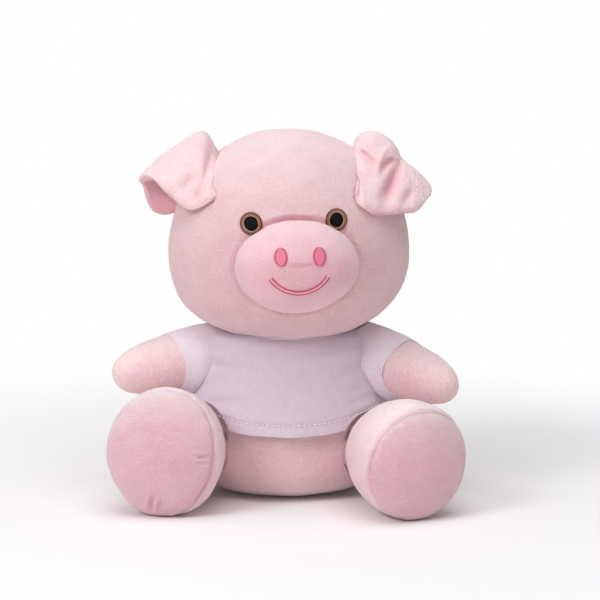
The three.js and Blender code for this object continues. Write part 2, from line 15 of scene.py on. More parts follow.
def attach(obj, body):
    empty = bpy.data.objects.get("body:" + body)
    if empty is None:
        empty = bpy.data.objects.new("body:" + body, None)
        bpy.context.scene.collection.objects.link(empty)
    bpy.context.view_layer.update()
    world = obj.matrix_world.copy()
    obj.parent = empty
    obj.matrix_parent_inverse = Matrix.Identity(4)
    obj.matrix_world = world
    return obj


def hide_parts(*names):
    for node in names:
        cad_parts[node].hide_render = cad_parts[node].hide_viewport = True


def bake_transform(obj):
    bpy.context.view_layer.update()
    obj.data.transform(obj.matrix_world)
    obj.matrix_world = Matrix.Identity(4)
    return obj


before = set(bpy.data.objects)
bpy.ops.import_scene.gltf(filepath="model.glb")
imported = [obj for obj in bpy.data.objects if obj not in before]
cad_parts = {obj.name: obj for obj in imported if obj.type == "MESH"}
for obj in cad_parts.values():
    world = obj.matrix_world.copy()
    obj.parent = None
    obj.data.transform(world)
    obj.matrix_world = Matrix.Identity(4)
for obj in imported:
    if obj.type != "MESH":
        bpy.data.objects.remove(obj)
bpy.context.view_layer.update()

# A sitting plush pig in a white jersey T-shirt.
# Sizes are in millimetres until a piece becomes a mesh, which is in metres. The pig sits on
# Z = 0 and faces -Y, and left and right are its own.

log = logging.getLogger("plush pig")
Points = np.ndarray
Pair = tuple[float, float]
Spot = tuple[float, float, float]
Ceiling = Callable[[Points], Points]  # the height of something over points
Piece = bpy.types.Object
Socket = bpy.types.NodeSocket
Tree = bpy.types.NodeTree
METRES = 0.001
UP = np.array([0.0, 0.0, 1.0])
NECK_HEIGHT = 82  # the top of the body, which the head rests on
OPEN_SKY = 400.0  # a height far over the head, where nothing is above
NEARLY_LEVEL = 0.02  # the share of its height that a levelled form keeps
HASH_PRIMES = np.array([73856093, 19349663, 83492791])


class Side(Enum):
    """The pig's own sides, with the sign that each has on the X axis."""

    RIGHT = -1
    LEFT = 1

    @property
    def word(self) -> str:
        """The side's name, as the CAD nodes have it."""
        return self.name.lower()

    def place(self, at: Sequence[float]) -> "Points":
        """A place that is given for the pig's left, on this side."""
        return np.array([self.value * at[0], at[1], at[2]])


# Shapes in numbers


def unit(vectors: Points) -> Points:
    """The same vectors, each with length one."""
    length = np.linalg.norm(vectors, axis=-1, keepdims=True)
    return vectors / np.maximum(length, 1e-9)


def eased(value: Points, start: float, stop: float) -> Points:
    """A smooth step from 0 at start to 1 at stop."""
    share = np.clip((np.asarray(value, float) - start) / (stop - start), 0, 1)
    return share * share * (3 - 2 * share)


def full_turn(count: int) -> Points:
    """Angles spread evenly once round."""
    return np.linspace(0, 2 * math.pi, count, endpoint=False)


def lumps(points: Points, size: float, seed: int) -> Points:
    """Smooth random unevenness over space.

    Args:
        points: places in millimetres, (n, 3).
        size: the lumps' size in millimetres.
        seed: a number that picks the pattern.

    Returns:
        One value from -1 to 1 for each point.
    """
    place = points / size + seed * 17.31
    cell = np.floor(place).astype(np.int64)
    part = place - cell
    part = part * part * (3 - 2 * part)
    total = np.zeros(len(points))
    for corner in range(8):
        step = np.array([corner & 1, corner >> 1 & 1, corner >> 2 & 1])
        key = (cell + step) @ HASH_PRIMES + seed * 2654435
        key = (key ^ (key >> 13)) * 1274126177 & 0xFFFFFFFF
        key = (key ^ (key >> 16)) & 0xFFFF
        weight = np.prod(np.where(step, part, 1 - part), axis=1)
        total += weight * (key / 32767.5 - 1)
    return total


def run_along(line: Points) -> Points:
    """The way along a line in space from its start to each of its points."""
    return np.concatenate([[0], np.cumsum(np.linalg.norm(np.diff(line, axis=0), axis=1))])


def profile_run(out: Points, height: Points) -> Points:
    """The way along a turned form's profile, given by its distances from the axis and its heights."""
    return np.concatenate([[0], np.cumsum(np.hypot(np.diff(out), np.diff(height)))])


def spots_along(line: Points, run: Points, wanted: Points) -> Points:
    """Values that a line has at wanted distances along it, by the way to each of its points."""
    return np.stack([np.interp(wanted, run, line[:, k]) for k in range(3)], -1)


@dataclass(frozen=True)
class Egg:
    """A turned form about the Z axis. A power of 1 is round, and less is squarer."""

    half_width: float
    half_depth: float
    rise: float
    drop: float
    rise_power: float = 1.0
    drop_power: float = 1.0

    def share_at(self, height: Points) -> Points:
        """The width's share that is left at heights over the widest ring.

        Args:
            height: the heights.

        Returns:
            The shares.
        """
        above = np.asarray(height) > 0
        power = np.where(above, self.rise_power, self.drop_power)
        part = np.minimum(np.abs(height) / np.where(above, self.rise, self.drop), 1.0)
        return (1 - part ** (2 / power)) ** (power / 2)

    def grid(self, rows: int, sides: int) -> Points:
        """Rings of points from the lower tip to the upper one.

        Args:
            rows: bands between the two tips.
            sides: points in each ring.

        Returns:
            An array of (rows + 1, sides, 3) in millimetres.
        """
        angle = np.linspace(-math.pi / 2, math.pi / 2, 1201)
        power = np.where(angle > 0, self.rise_power, self.drop_power)
        reach = np.where(angle > 0, self.rise, -self.drop)
        out = self.half_width * np.maximum(np.cos(angle), 0) ** power
        height = reach * np.abs(np.sin(angle)) ** power
        run = profile_run(out, height)
        wanted = np.linspace(0, run[-1], rows + 1)
        out, height = np.interp(wanted, run, out), np.interp(wanted, run, height)
        out[0] = out[-1] = 0
        turn = full_turn(sides)
        depth = self.half_depth / self.half_width
        return np.stack([
            out[:, None] * np.cos(turn),
            out[:, None] * np.sin(turn) * depth,
            np.repeat(height[:, None], sides, axis=1),
        ], axis=-1)

    def depth_inside(self, points: Points) -> Points:
        """Where points about the egg's own middle lie, as a share: 1 on the surface, less inside.

        Args:
            points: the points.

        Returns:
            The shares.
        """
        radius = np.hypot(points[:, 0] / self.half_width, points[:, 1] / self.half_depth)
        above = points[:, 2] > 0
        power = np.where(above, self.rise_power, self.drop_power)
        height = np.abs(points[:, 2]) / np.where(above, self.rise, self.drop)
        return (radius ** (2 / power) + height ** (2 / power)) ** (power / 2)


class Track:
    """A quadratic path that a limb is bent along, measured by its length."""

    def __init__(self, start: Points, middle: Points, stop: Points) -> None:
        """Draws the path from its two ends and the corner between them.

        Args:
            start: its first end.
            middle: the corner.
            stop: its other end.
        """
        share = np.linspace(0, 1, 241)[:, None]
        self.points = (1 - share) ** 2 * start + 2 * share * (1 - share) * middle + share ** 2 * stop
        self.ways = unit(2 * (1 - share) * (middle - start) + 2 * share * (stop - middle))
        self.run = run_along(self.points)
        self.length = float(self.run[-1])

    def at(self, distance: Points) -> tuple[Points, Points]:
        """Points and directions at distances along the path, which runs on straight past its ends.

        Args:
            distance: the distances.

        Returns:
            The points and the directions.
        """
        within = np.clip(distance, 0, self.length)
        point = spots_along(self.points, self.run, within)
        way = unit(spots_along(self.ways, self.run, within))
        return point + way * (distance - within)[..., None], way

    def bent(self, form: Points) -> Points:
        """A form about the Z axis laid along the path, its X to the side and its Y up.

        Args:
            form: the form's points.

        Returns:
            The points along the path.
        """
        point, way = self.at(form[..., 2])
        side = unit(np.cross(way, UP))
        up = np.cross(side, way)
        return point + side * form[..., 0:1] + up * form[..., 1:2]


def rounded_line(corners: Sequence[Sequence[float]], count: int) -> Points:
    """A smooth line through a few corners.

    Args:
        corners: the points that it passes, in millimetres.
        count: how many points to give back.

    Returns:
        An array of (count, 3).
    """
    given = np.asarray(corners, float)
    given = np.vstack([2 * given[0] - given[1], given, 2 * given[-1] - given[-2]])
    place = np.linspace(0, len(given) - 3 - 1e-9, count)
    at = place.astype(int)
    t = (place - at)[:, None]
    a, b, c, d = (given[at + k] for k in range(4))
    curve = (2 * a - 5 * b + 4 * c - d) * t ** 2
    return 0.5 * (2 * b + (c - a) * t + curve + (3 * b - 3 * c + d - a) * t ** 3)


def evened(points: Points, count: int) -> Points:
    """A line's points, spread evenly along its length."""
    run = run_along(points)
    return spots_along(points, run, np.linspace(0, run[-1], count))


def put(name: str, data: bpy.types.ID) -> Piece:
    """A new object in the scene, of a mesh, a lamp or a camera."""
    made = bpy.data.objects.new(name, data)
    bpy.context.scene.collection.objects.link(made)
    return made


@dataclass
class Shell:
    """A closed surface that is still being shaped, with its faces and the painted shade in its seams and
    folds.
    """

    points: Points
    faces: list[tuple[int, ...]]
    corner_uv: list[tuple[Pair, ...]] | None = None
    # how strongly each point is painted with the shade that falls in its seams and folds
    seam: Points = field(default_factory=lambda: np.zeros(0))

    def __post_init__(self) -> None:
        """Starts without painted shade, and turns the faces outwards."""
        self.seam = np.zeros(len(self.points))
        if self.volume() < 0:
            self.faces = [face[::-1] for face in self.faces]
            if self.corner_uv is not None:
                self.corner_uv = [corners[::-1] for corners in self.corner_uv]

    def triangles(self) -> Points:
        """The faces' corner numbers, each face cut into triangles."""
        quads = np.array([f for f in self.faces if len(f) == 4], dtype=int).reshape(-1, 4)
        three = np.array([f for f in self.faces if len(f) == 3], dtype=int).reshape(-1, 3)
        return np.vstack([three, quads[:, [0, 1, 2]], quads[:, [0, 2, 3]]])

    def volume(self) -> float:
        """The volume, which is negative where the faces point inwards."""
        a, b, c = (self.points[self.triangles()[:, k]] for k in range(3))
        return float(np.einsum("ij,ij->i", a, np.cross(b, c)).sum() / 6)

    def normals(self) -> Points:
        """The outward direction at each point."""
        order = self.triangles()
        a, b, c = (self.points[order[:, k]] for k in range(3))
        across = np.cross(b - a, c - a)
        total = np.zeros_like(self.points)
        for k in range(3):
            np.add.at(total, order[:, k], across)
        return unit(total)

    def puff(self, height: float, size: float, seed: int) -> "Shell":
        """Gives the surface the soft unevenness of stuffing under cloth."""
        moved = lumps(self.points, size, seed) + 0.45 * lumps(self.points, size * 0.45, seed + 7)
        self.points = self.points + self.normals() * (moved * height)[:, None]
        return self

    def press(self, creases: Sequence["Crease"]) -> "Shell":
        """Presses seams, folds and dimples into the surface, and paints each point with the shade of the
        crease near it.

        Args:
            creases: the lines to press in.

        Returns:
            The same surface.
        """
        normals = self.normals()
        facing = eased(-normals[:, 1], -0.1, 0.35)
        moved = np.zeros_like(self.points)
        for crease in creases:
            depth, shade_mark = crease.over(self.points)
            if crease.seen_from_front:
                moved[:, 1] += depth * facing
                shade_mark = shade_mark * facing
            else:
                moved -= normals * depth[:, None]
            self.seam = np.maximum(self.seam, shade_mark)
        self.points = self.points + moved
        return self

    def flatten_seat(self, softness: float = 1.2) -> "Shell":
        """Rests the surface on the floor, with a small round edge to the flat.

        Args:
            softness: the size of the round edge.

        Returns:
            The same surface.
        """
        height = self.points[:, 2]
        low = height < softness
        eased_height = softness * np.exp(np.minimum(height - softness, 0) / softness)
        floor = softness * math.exp(-3.0)
        self.points[:, 2] = np.where(low, np.maximum(eased_height - floor, 0), height)
        return self

    def level(self, at: float, above: bool) -> "Shell":
        """Makes what lies above or below a height almost level.

        Args:
            at: the height.
            above: whether what lies above it is levelled.

        Returns:
            The same surface.
        """
        height = self.points[:, 2]
        beyond = height > at if above else height < at
        self.points[:, 2] = np.where(beyond, at + (height - at) * NEARLY_LEVEL, height)
        return self

    def tree(self) -> BVHTree:
        """The surface, ready to be hit by rays."""
        return BVHTree.FromPolygons([Vector(point) for point in self.points], self.faces)

    def piece(self, name: str, finish: "Finish") -> Piece:
        """The finished mesh in the scene, in metres, with its material.

        Args:
            name: the piece's name.
            finish: its material.

        Returns:
            The piece.
        """
        mesh = bpy.data.meshes.new(name)
        mesh.from_pydata((self.points * METRES).tolist(), [], self.faces)
        if self.corner_uv is not None:
            layer = mesh.uv_layers.new(name="Cut")
            flat = [value for corners in self.corner_uv for corner in corners for value in corner]
            layer.data.foreach_set("uv", flat)
        # the painted shade of seams and folds, kept as the mesh's seam attribute
        shade_marks = mesh.attributes.new("seam", "FLOAT", "POINT")
        shade_marks.data.foreach_set("value", self.seam.astype(np.float32))
        mesh.shade_smooth()
        mesh.materials.append(finish.material())
        return put(name, mesh)


@dataclass(frozen=True)
class Crease:
    """A line that is pressed into a surface, or stands out of it where its depth is negative.

    The roll is the height of the swelling beside it, and the shade mark is how strongly the shade that
    falls in it is painted on.
    """

    line: Points
    width: float
    depth: float
    roll: float = 0.0
    ends: bool = True
    shade_mark: float = 1.0
    seen_from_front: bool = False

    def over(self, points: Points) -> tuple[Points, Points]:
        """How deep each point is pressed, and how strongly the crease's painted shade lies on it.

        Args:
            points: the surface's points.

        Returns:
            The depths and the strengths of painted shade.
        """
        depth = np.zeros(len(points))
        shade_mark = np.zeros(len(points))
        reach = self.width * 4 + 1
        low, high = self.line.min(0) - reach, self.line.max(0) + reach
        if self.seen_from_front:
            low[1], high[1] = -1e3, 1e3
        near = np.where(((points > low) & (points < high)).all(1))[0]
        if not len(near):
            return depth, shade_mark
        best = np.full(len(near), 1e9)
        share = np.zeros(len(near))
        count = len(self.line) - 1
        weight = np.array([1.0, 0.0 if self.seen_from_front else 1.0, 1.0])
        for at in range(count):
            start, run = self.line[at] * weight, (self.line[at + 1] - self.line[at]) * weight
            along = np.clip((points[near] * weight - start) @ run / max(run @ run, 1e-9), 0, 1)
            gap = np.linalg.norm(points[near] * weight - start - along[:, None] * run, axis=1)
            closer = gap < best
            best = np.where(closer, gap, best)
            share = np.where(closer, (at + along) / count, share)
        fade = np.sin(math.pi * np.clip(share, 0.02, 0.98)) ** 0.6 if self.ends else 1.0
        valley = np.exp(-((best / self.width) ** 2))
        shoulder = np.exp(-(((best - 2.1 * self.width) / (0.9 * self.width)) ** 2))
        depth[near] = (valley * self.depth - shoulder * self.roll) * fade
        shade_mark[near] = np.exp(-((best / (self.width * 1.3)) ** 2)) * fade * self.shade_mark
        return depth, shade_mark


def fold(
    *corners: Sequence[float],
    width: float,
    depth: float,
    shade_mark: float,
    roll: float = 0.4,
    from_front: bool = True,
) -> Crease:
    """A fold or pucker along a smooth line through its corners, which fades at its ends."""
    return Crease(rounded_line(corners, 24), width, depth, roll, True, shade_mark, from_front)


def egg_shell(grid: Points) -> Shell:
    """A closed surface from rings of points whose first and last ring are tips.

    Args:
        grid: the rings of points.

    Returns:
        The surface.
    """
    rows, sides = grid.shape[0] - 1, grid.shape[1]
    points = np.vstack([grid[0, :1], grid[1:-1].reshape(-1, 3), grid[-1, :1]])
    last = len(points) - 1
    faces: list[tuple[int, ...]] = []
    for side in range(sides):
        after = (side + 1) % sides
        faces.append((0, 1 + after, 1 + side))
        top = 1 + (rows - 2) * sides
        faces.append((last, top + side, top + after))
    for row in range(rows - 2):
        start = 1 + row * sides
        for side in range(sides):
            after = (side + 1) % sides
            faces.append((start + side, start + after, start + sides + after, start + sides + side))
    return Shell(points, faces)


def cloth_shell(outer: Points, inner: Points, closed: bool, flat: Pair) -> Shell:
    """A sheet of cloth with two faces and closed edges.

    Args:
        outer: rows and columns of points on the outer face, (r, c, 3).
        inner: the same for the inner face.
        closed: whether each row is a ring.
        flat: the width and length of the cut, in millimetres, for the weave.

    Returns:
        The closed sheet, with the cut's own measures as its UV map, in metres.
    """
    rows, columns = outer.shape[:2]
    layer = rows * columns
    bands = columns if closed else columns - 1
    faces: list[tuple[int, ...]] = []
    uv: list[tuple[Pair, ...]] = []

    def quad(corners: list[tuple[int, int, int]]) -> None:
        """One face from its corners' layers, rows and columns."""
        faces.append(tuple(
            side * layer + row * columns + column % columns for side, row, column in corners
        ))
        uv.append(tuple(
            (column / bands * flat[0] * METRES, row / (rows - 1) * flat[1] * METRES)
            for _, row, column in corners
        ))

    for row in range(rows - 1):
        for column in range(bands):
            corners = [(row, column), (row, column + 1), (row + 1, column + 1), (row + 1, column)]
            quad([(0, *corner) for corner in corners])
            quad([(1, *corners[at]) for at in (0, 3, 2, 1)])
    for column in range(bands):
        quad([(1, 0, column), (1, 0, column + 1), (0, 0, column + 1), (0, 0, column)])
        end = rows - 1
        quad([(0, end, column), (0, end, column + 1), (1, end, column + 1), (1, end, column)])
    if not closed:
        for row in range(rows - 1):
            quad([(0, row, 0), (0, row + 1, 0), (1, row + 1, 0), (1, row, 0)])
            end = columns - 1
            quad([(1, row, end), (1, row + 1, end), (0, row + 1, end), (0, row, end)])
    points = np.vstack([outer.reshape(-1, 3), inner.reshape(-1, 3)])
    return Shell(points, faces, uv)


def sheet_normals(points: Points) -> Points:
    """The direction out of a sheet at each of its rows and columns."""
    return unit(np.cross(np.gradient(points, axis=1), np.gradient(points, axis=0)))


def plain(shape: Piece) -> Piece:
    """Makes an object's evaluated result its own mesh, and takes its modifiers off.

    Args:
        shape: the object.

    Returns:
        The same object.
    """
    graph = bpy.context.evaluated_depsgraph_get()
    made = bpy.data.meshes.new_from_object(
        shape.evaluated_get(graph), preserve_all_data_layers=True, depsgraph=graph
    )
    shape.modifiers.clear()
    old = shape.data
    shape.data = made
    if old.users == 0:
        bpy.data.meshes.remove(old)
    return shape


def slab(foot: float, head: float, half: float = 120.0) -> Shell:
    """A level slab between two heights, as a closed surface.

    Args:
        foot: its lower height.
        head: its upper height.
        half: half its width.

    Returns:
        The surface.
    """
    reach = (-half, half)
    corners = np.array([[x, y, z] for z in (foot, head) for y in reach for x in reach])
    faces = [(0, 2, 3, 1), (4, 5, 7, 6), (0, 1, 5, 4), (1, 3, 7, 5), (3, 2, 6, 7), (2, 0, 4, 6)]
    return Shell(corners, faces, [((0.0, 0.0),) * 4] * 6)


def carved(
    shape: Piece, cutters: Sequence[Shell], within: Sequence[Shell] = ()
) -> Piece:
    """Cuts rooms for turning limbs out of a piece.

    Args:
        shape: the piece to cut.
        cutters: closed surfaces of the space that a limb needs.
        within: closed surfaces that the piece is kept inside of.

    Returns:
        The same piece, cut.
    """
    made = []
    for number, cutter in enumerate([*within, *cutters]):
        mesh = bpy.data.meshes.new(f"room_{number}")
        mesh.from_pydata((cutter.points * METRES).tolist(), [], cutter.faces)
        room = put(f"room_{number}", mesh)
        made.append(room)
        cut = shape.modifiers.new(f"room_{number}", "BOOLEAN")
        cut.operation = "INTERSECT" if number < len(within) else "DIFFERENCE"
        cut.solver = "MANIFOLD"
        cut.object = room
    bpy.context.view_layer.update()
    plain(shape)
    for room in made:
        bpy.data.objects.remove(room)
    shape.data.shade_smooth()
    shape.data.set_sharp_from_angle(angle=math.radians(50))
    return shape


# Shader and geometry node trees


class Desk:
    """Places and links the nodes of one tree."""

    def __init__(self, tree: Tree) -> None:
        """Takes the tree that is to be filled."""
        self.tree = tree

    def add(self, kind: str, inputs: dict[Any, Any] | None = None, **settings: Any) -> bpy.types.Node:
        """Adds one node.

        Args:
            kind: the node's type.
            inputs: values or other nodes' sockets, by the input's name or number.
            settings: the node's own properties.

        Returns:
            The node.
        """
        node = self.tree.nodes.new(kind)
        for name, value in settings.items():
            setattr(node, name, value)
        for name, value in (inputs or {}).items():
            socket = node.inputs[name]
            if isinstance(value, Socket):
                self.tree.links.new(value, socket)
            else:
                socket.default_value = value
        return node

    def result(self, kind: str, inputs: dict[Any, Any] | None = None, **settings: Any) -> Socket:
        """The first output of a new node."""
        return self.add(kind, inputs, **settings).outputs[0]

    def calc(self, first: Any, second: Any, operation: str = "ADD") -> Socket:
        """One Math node's result."""
        return self.result("ShaderNodeMath", {0: first, 1: second}, operation=operation)

    def times(self, first: Any, second: Any) -> Socket:
        """The product of two values."""
        return self.calc(first, second, "MULTIPLY")

    def swing(self, value: Any, gain: Any, middle: float = 0.5) -> Socket:
        """How far a value is off its middle, times a gain."""
        return self.times(self.calc(value, middle, "SUBTRACT"), gain)

    def clamped(self, value: Any) -> Socket:
        """A value kept from 0 to 1."""
        return self.result("ShaderNodeClamp", {"Value": value})

    def noise(self, place: Any, scale: Any, detail: float, **more: float) -> Socket:
        """Soft random shades over space, from 0 to 1."""
        inputs = {"Vector": place, "Scale": scale, "Detail": detail, **more}
        return self.result("ShaderNodeTexNoise", inputs)

    def mix(self, factor: Any, first: Any, second: Any) -> Socket:
        """Two colours mixed, with all of the second one where the factor is 1."""
        inputs = {"Factor": factor, "A": first, "B": second}
        return self.add("ShaderNodeMix", inputs, data_type="RGBA").outputs["Result"]

    def bump(self, height: Any, strength: float, distance: float) -> Socket:
        """The surface's direction where a height, at most the distance in metres, stands on it."""
        inputs = {"Height": height, "Strength": strength, "Distance": distance}
        return self.result("ShaderNodeBump", inputs)

    def group(self, tree: Tree, inputs: dict[Any, Any]) -> Any:
        """The outputs of a node group with these inputs."""
        return self.add("ShaderNodeGroup", inputs, node_tree=tree).outputs

    def seam(self) -> Socket:
        """How strongly the shade that falls in a seam or fold is painted on a point."""
        return self.add("ShaderNodeAttribute", attribute_name="seam").outputs["Fac"]

    def surface(self, inputs: dict[Any, Any]) -> None:
        """Ends a material in one Principled shader."""
        shader = self.result("ShaderNodeBsdfPrincipled", inputs)
        self.add("ShaderNodeOutputMaterial", {"Surface": shader})


def group_tree(
    name: str,
    kind: str,
    inputs: Sequence[tuple[str, str, Any]],
    outputs: Sequence[tuple[str, str]],
) -> tuple[Tree, Desk, Any, Any]:
    """A new node group with named sockets.

    Args:
        name: the group's name.
        kind: the tree's type.
        inputs: name, kind of value and default of each input.
        outputs: name and kind of value of each output.

    Returns:
        The tree, its desk, its input node's sockets and its output node's sockets.
    """
    tree = bpy.data.node_groups.new(name, kind)
    for title, value_kind, value in inputs:
        socket = tree.interface.new_socket(title, in_out="INPUT", socket_type=f"NodeSocket{value_kind}")
        if value is not None:
            socket.default_value = value
    for title, value_kind in outputs:
        tree.interface.new_socket(title, in_out="OUTPUT", socket_type=f"NodeSocket{value_kind}")
    desk = Desk(tree)
    return tree, desk, desk.add("NodeGroupInput").outputs, desk.add("NodeGroupOutput").inputs


@cache
def pile_group() -> Tree:
    """Short plush pile: small tufts, the nap's streaks and soft patches of shade."""
    tree, desk, given, out = group_tree("Short pile", "ShaderNodeTree", [
        ("Place", "Vector", None),
        ("Tuft size", "Float", 0.8),
        ("Nap stretch", "Float", 0.45),
        ("Streaks", "Float", 0.4),
    ], [("Shade", "Float"), ("Height", "Float")])
    stretch = desk.result("ShaderNodeCombineXYZ", {0: 1.0, 1: 1.0, 2: given["Nap stretch"]})
    both = {0: given["Place"], 1: stretch}
    napped = desk.result("ShaderNodeVectorMath", both, operation="MULTIPLY")
    size = desk.calc(1.0, given["Tuft size"], "DIVIDE")
    tufts = desk.noise(napped, size, 3.0, Roughness=0.62)
    clumps = desk.noise(napped, desk.times(size, 0.3), 2.0, Distortion=0.6)
    patches = desk.noise(given["Place"], 0.085, 3.0)
    height = desk.calc(tufts, desk.times(clumps, given["Streaks"]))
    tree.links.new(height, out["Height"])
    soft = desk.calc(desk.swing(tufts, 1.8), desk.swing(patches, 0.7))
    shade = desk.calc(desk.calc(soft, desk.swing(clumps, given["Streaks"])), 0.5)
    tree.links.new(desk.clamped(shade), out["Shade"])
    return tree


@cache
def knit_group() -> Tree:
    """Knitted rows: wales along V with courses across them."""
    tree, desk, given, out = group_tree("Knitted rows", "ShaderNodeTree", [
        ("Place", "Vector", None),
        ("Wale", "Float", 0.6),
        ("Course", "Float", 0.5),
        ("Unevenness", "Float", 0.3),
    ], [("Shade", "Float"), ("Height", "Float")])
    wander = desk.noise(given["Place"], 0.25, 2.0)
    shift = desk.swing(wander, given["Unevenness"])
    split = desk.add("ShaderNodeSeparateXYZ", {0: given["Place"]}).outputs
    across = desk.calc(desk.calc(split[0], shift), given["Wale"], "DIVIDE")
    along = desk.calc(desk.calc(split[1], shift), given["Course"], "DIVIDE")
    wale = desk.calc(desk.calc(desk.times(across, math.pi), 0.0, "SINE"), 0.0, "ABSOLUTE")
    leaning = desk.calc(along, desk.times(wale, 0.6))
    course = desk.calc(desk.times(leaning, 2 * math.pi), 0.0, "SINE")
    height = desk.calc(wale, desk.times(course, 0.22))
    fuzz = desk.noise(given["Place"], 2.2, 3.0)
    rough = desk.calc(height, desk.times(fuzz, 0.7))
    tree.links.new(rough, out["Height"])
    shade = desk.calc(desk.swing(wander, 0.45), desk.swing(rough, 0.5, middle=0.9))
    tree.links.new(desk.clamped(desk.calc(shade, 0.5)), out["Shade"])
    return tree


Colour = tuple[float, float, float]
# the colour of the painted highlight on plush
PAINTED_HIGHLIGHT_COLOUR = (255, 238, 241)
SHEEN_TINT = (255, 236, 240)


def linear(colour: Colour) -> tuple[float, float, float, float]:
    """A colour as it is seen, 0 to 255, turned to the linear values that shaders take."""
    shares = [value / 255 for value in colour]
    parts = [share / 12.92 if share <= 0.04045 else ((share + 0.055) / 1.055) ** 2.4 for share in shares]
    return (parts[0], parts[1], parts[2], 1.0)


@dataclass(frozen=True)
class Finish:
    """What every finish has: a name, its slot and its colours."""

    name: str
    slot: str
    pale: Colour
    deep: Colour

    def material(self) -> bpy.types.Material:
        """The finish as a material, which is made once."""
        if self.name in bpy.data.materials:
            return bpy.data.materials[self.name]
        made = bpy.data.materials.new(self.name)
        made.use_nodes = True
        made.node_tree.nodes.clear()
        made.diffuse_color = linear(self.pale)
        self.dress(Desk(made.node_tree))
        return made

    def dress(self, desk: Desk) -> None:
        """Fills the material's tree.

        Args:
            desk: the tree's nodes.
        """
        raise NotImplementedError

    def place_in_mm(self, desk: Desk, source: str = "Object") -> Socket:
        """A point's place on the object, or on the cut where the source is UV, in millimetres."""
        coordinates = desk.add("ShaderNodeTexCoord").outputs[source]
        inputs = {"Vector": coordinates, "Scale": (1 / METRES, 1 / METRES, 1 / METRES)}
        return desk.result("ShaderNodeMapping", inputs)


@dataclass(frozen=True)
class Plush(Finish):
    """Short plush pile, with painted shade in its seams and folds and a painted highlight at its tips.

    The painted highlight pales the pile where it is seen edge on and where its surface faces up.
    """

    # painted shade: the colour that seams and folds are darkened towards
    crease: Colour = (222, 130, 148)
    tuft_size: float = 1.0
    nap_stretch: float = 1.7
    streaks: float = 0.3
    bump: float = 0.85
    sheen: float = 0.4
    knit: float = 0.0
    # painted highlight: how far the pile is paled where it is seen edge on, and where it faces up
    edge_highlight: float = 0.6
    top_highlight: float = 0.4

    def dress(self, desk: Desk) -> None:
        """Fills the material's tree.

        Args:
            desk: the tree's nodes.
        """
        pile = desk.group(pile_group(), {
            "Place": self.place_in_mm(desk),
            "Tuft size": self.tuft_size,
            "Nap stretch": self.nap_stretch,
            "Streaks": self.streaks,
        })
        shade, height = pile["Shade"], pile["Height"]
        if self.knit:
            cut = self.place_in_mm(desk, "UV")
            ribs = {"Place": cut, "Wale": 1.0, "Course": 0.9, "Unevenness": 1.4}
            rows = desk.group(knit_group(), ribs)
            height = desk.calc(height, desk.times(rows["Height"], self.knit))
            shade = desk.clamped(desk.calc(shade, desk.swing(rows["Shade"], self.knit)))
        body = desk.mix(shade, linear(self.deep), linear(self.pale))
        # painted shade in seams and folds
        colour = desk.mix(desk.seam(), body, linear(self.crease))
        # painted highlight: paler where the pile is seen edge on and where it faces up
        edge_on = desk.add("ShaderNodeLayerWeight", {"Blend": 0.3}).outputs["Facing"]
        normal = desk.add("ShaderNodeTexCoord").outputs["Normal"]
        facing_up = desk.add("ShaderNodeSeparateXYZ", {0: normal}).outputs[2]
        spread = {"Value": facing_up, "From Min": 0.0, "From Max": 1.0, "To Max": self.top_highlight}
        upward = desk.result("ShaderNodeMapRange", spread)
        tips = desk.calc(desk.times(edge_on, self.edge_highlight), upward)
        desk.surface({
            "Base Color": desk.mix(tips, colour, linear(PAINTED_HIGHLIGHT_COLOUR)),
            "Normal": desk.bump(height, self.bump, 0.001),
            "Roughness": 0.95,
            "Specular IOR Level": 0.15,
            "Sheen Weight": self.sheen,
            "Sheen Roughness": 0.4,
            "Sheen Tint": linear(SHEEN_TINT),
        })


@dataclass(frozen=True)
class Jersey(Finish):
    """Fine T-shirt jersey, with its wales running up the cut."""

    wale: float = 0.85
    course: float = 0.75
    bump: float = 0.6

    def dress(self, desk: Desk) -> None:
        """Fills the material's tree.

        Args:
            desk: the tree's nodes.
        """
        cut = self.place_in_mm(desk, "UV")
        rows = desk.group(knit_group(), {"Place": cut, "Wale": self.wale, "Course": self.course})
        body = desk.mix(rows["Shade"], linear(self.deep), linear(self.pale))
        # painted shade: the hem line, the folds and the armhole seam darken the jersey towards its deep
        # colour
        desk.surface({
            "Base Color": desk.mix(desk.times(desk.seam(), 0.5), body, linear(self.deep)),
            "Normal": desk.bump(rows["Height"], self.bump, 0.0002),
            "Roughness": 0.9,
            "Specular IOR Level": 0.2,
            "Sheen Weight": 0.15,
            "Sheen Roughness": 0.5,
        })


@dataclass(frozen=True)
class Thread(Finish):
    """Embroidery thread: satin, with the light and dark of its twist."""

    roughness: float = 0.5
    gloss: float = 0.35

    def dress(self, desk: Desk) -> None:
        """Fills the material's tree.

        Args:
            desk: the tree's nodes.
        """
        twist = desk.noise(self.place_in_mm(desk), 2.6, 2.0)
        desk.surface({
            "Base Color": desk.mix(twist, linear(self.deep), linear(self.pale)),
            "Normal": desk.bump(twist, 0.3, 0.0001),
            "Roughness": self.roughness,
            "Specular IOR Level": self.gloss,
            "Sheen Weight": self.gloss * 0.25,
        })


@dataclass(frozen=True)
class Filling(Finish):
    """Stuffing fibre or bag cloth, which stays inside the covers."""

    def dress(self, desk: Desk) -> None:
        """Fills the material's tree.

        Args:
            desk: the tree's nodes.
        """
        strands = desk.noise(self.place_in_mm(desk), 0.5, 5.0, Distortion=1.5)
        desk.surface({
            "Base Color": desk.mix(strands, linear(self.deep), linear(self.pale)),
            "Normal": desk.bump(strands, 0.6, 0.001),
            "Roughness": 1.0,
        })


# Each plush's crease colour is the painted shade in its seams and folds.
PLUSH = Plush("Pink plush", "plush", (245, 210, 215), (220, 171, 178))
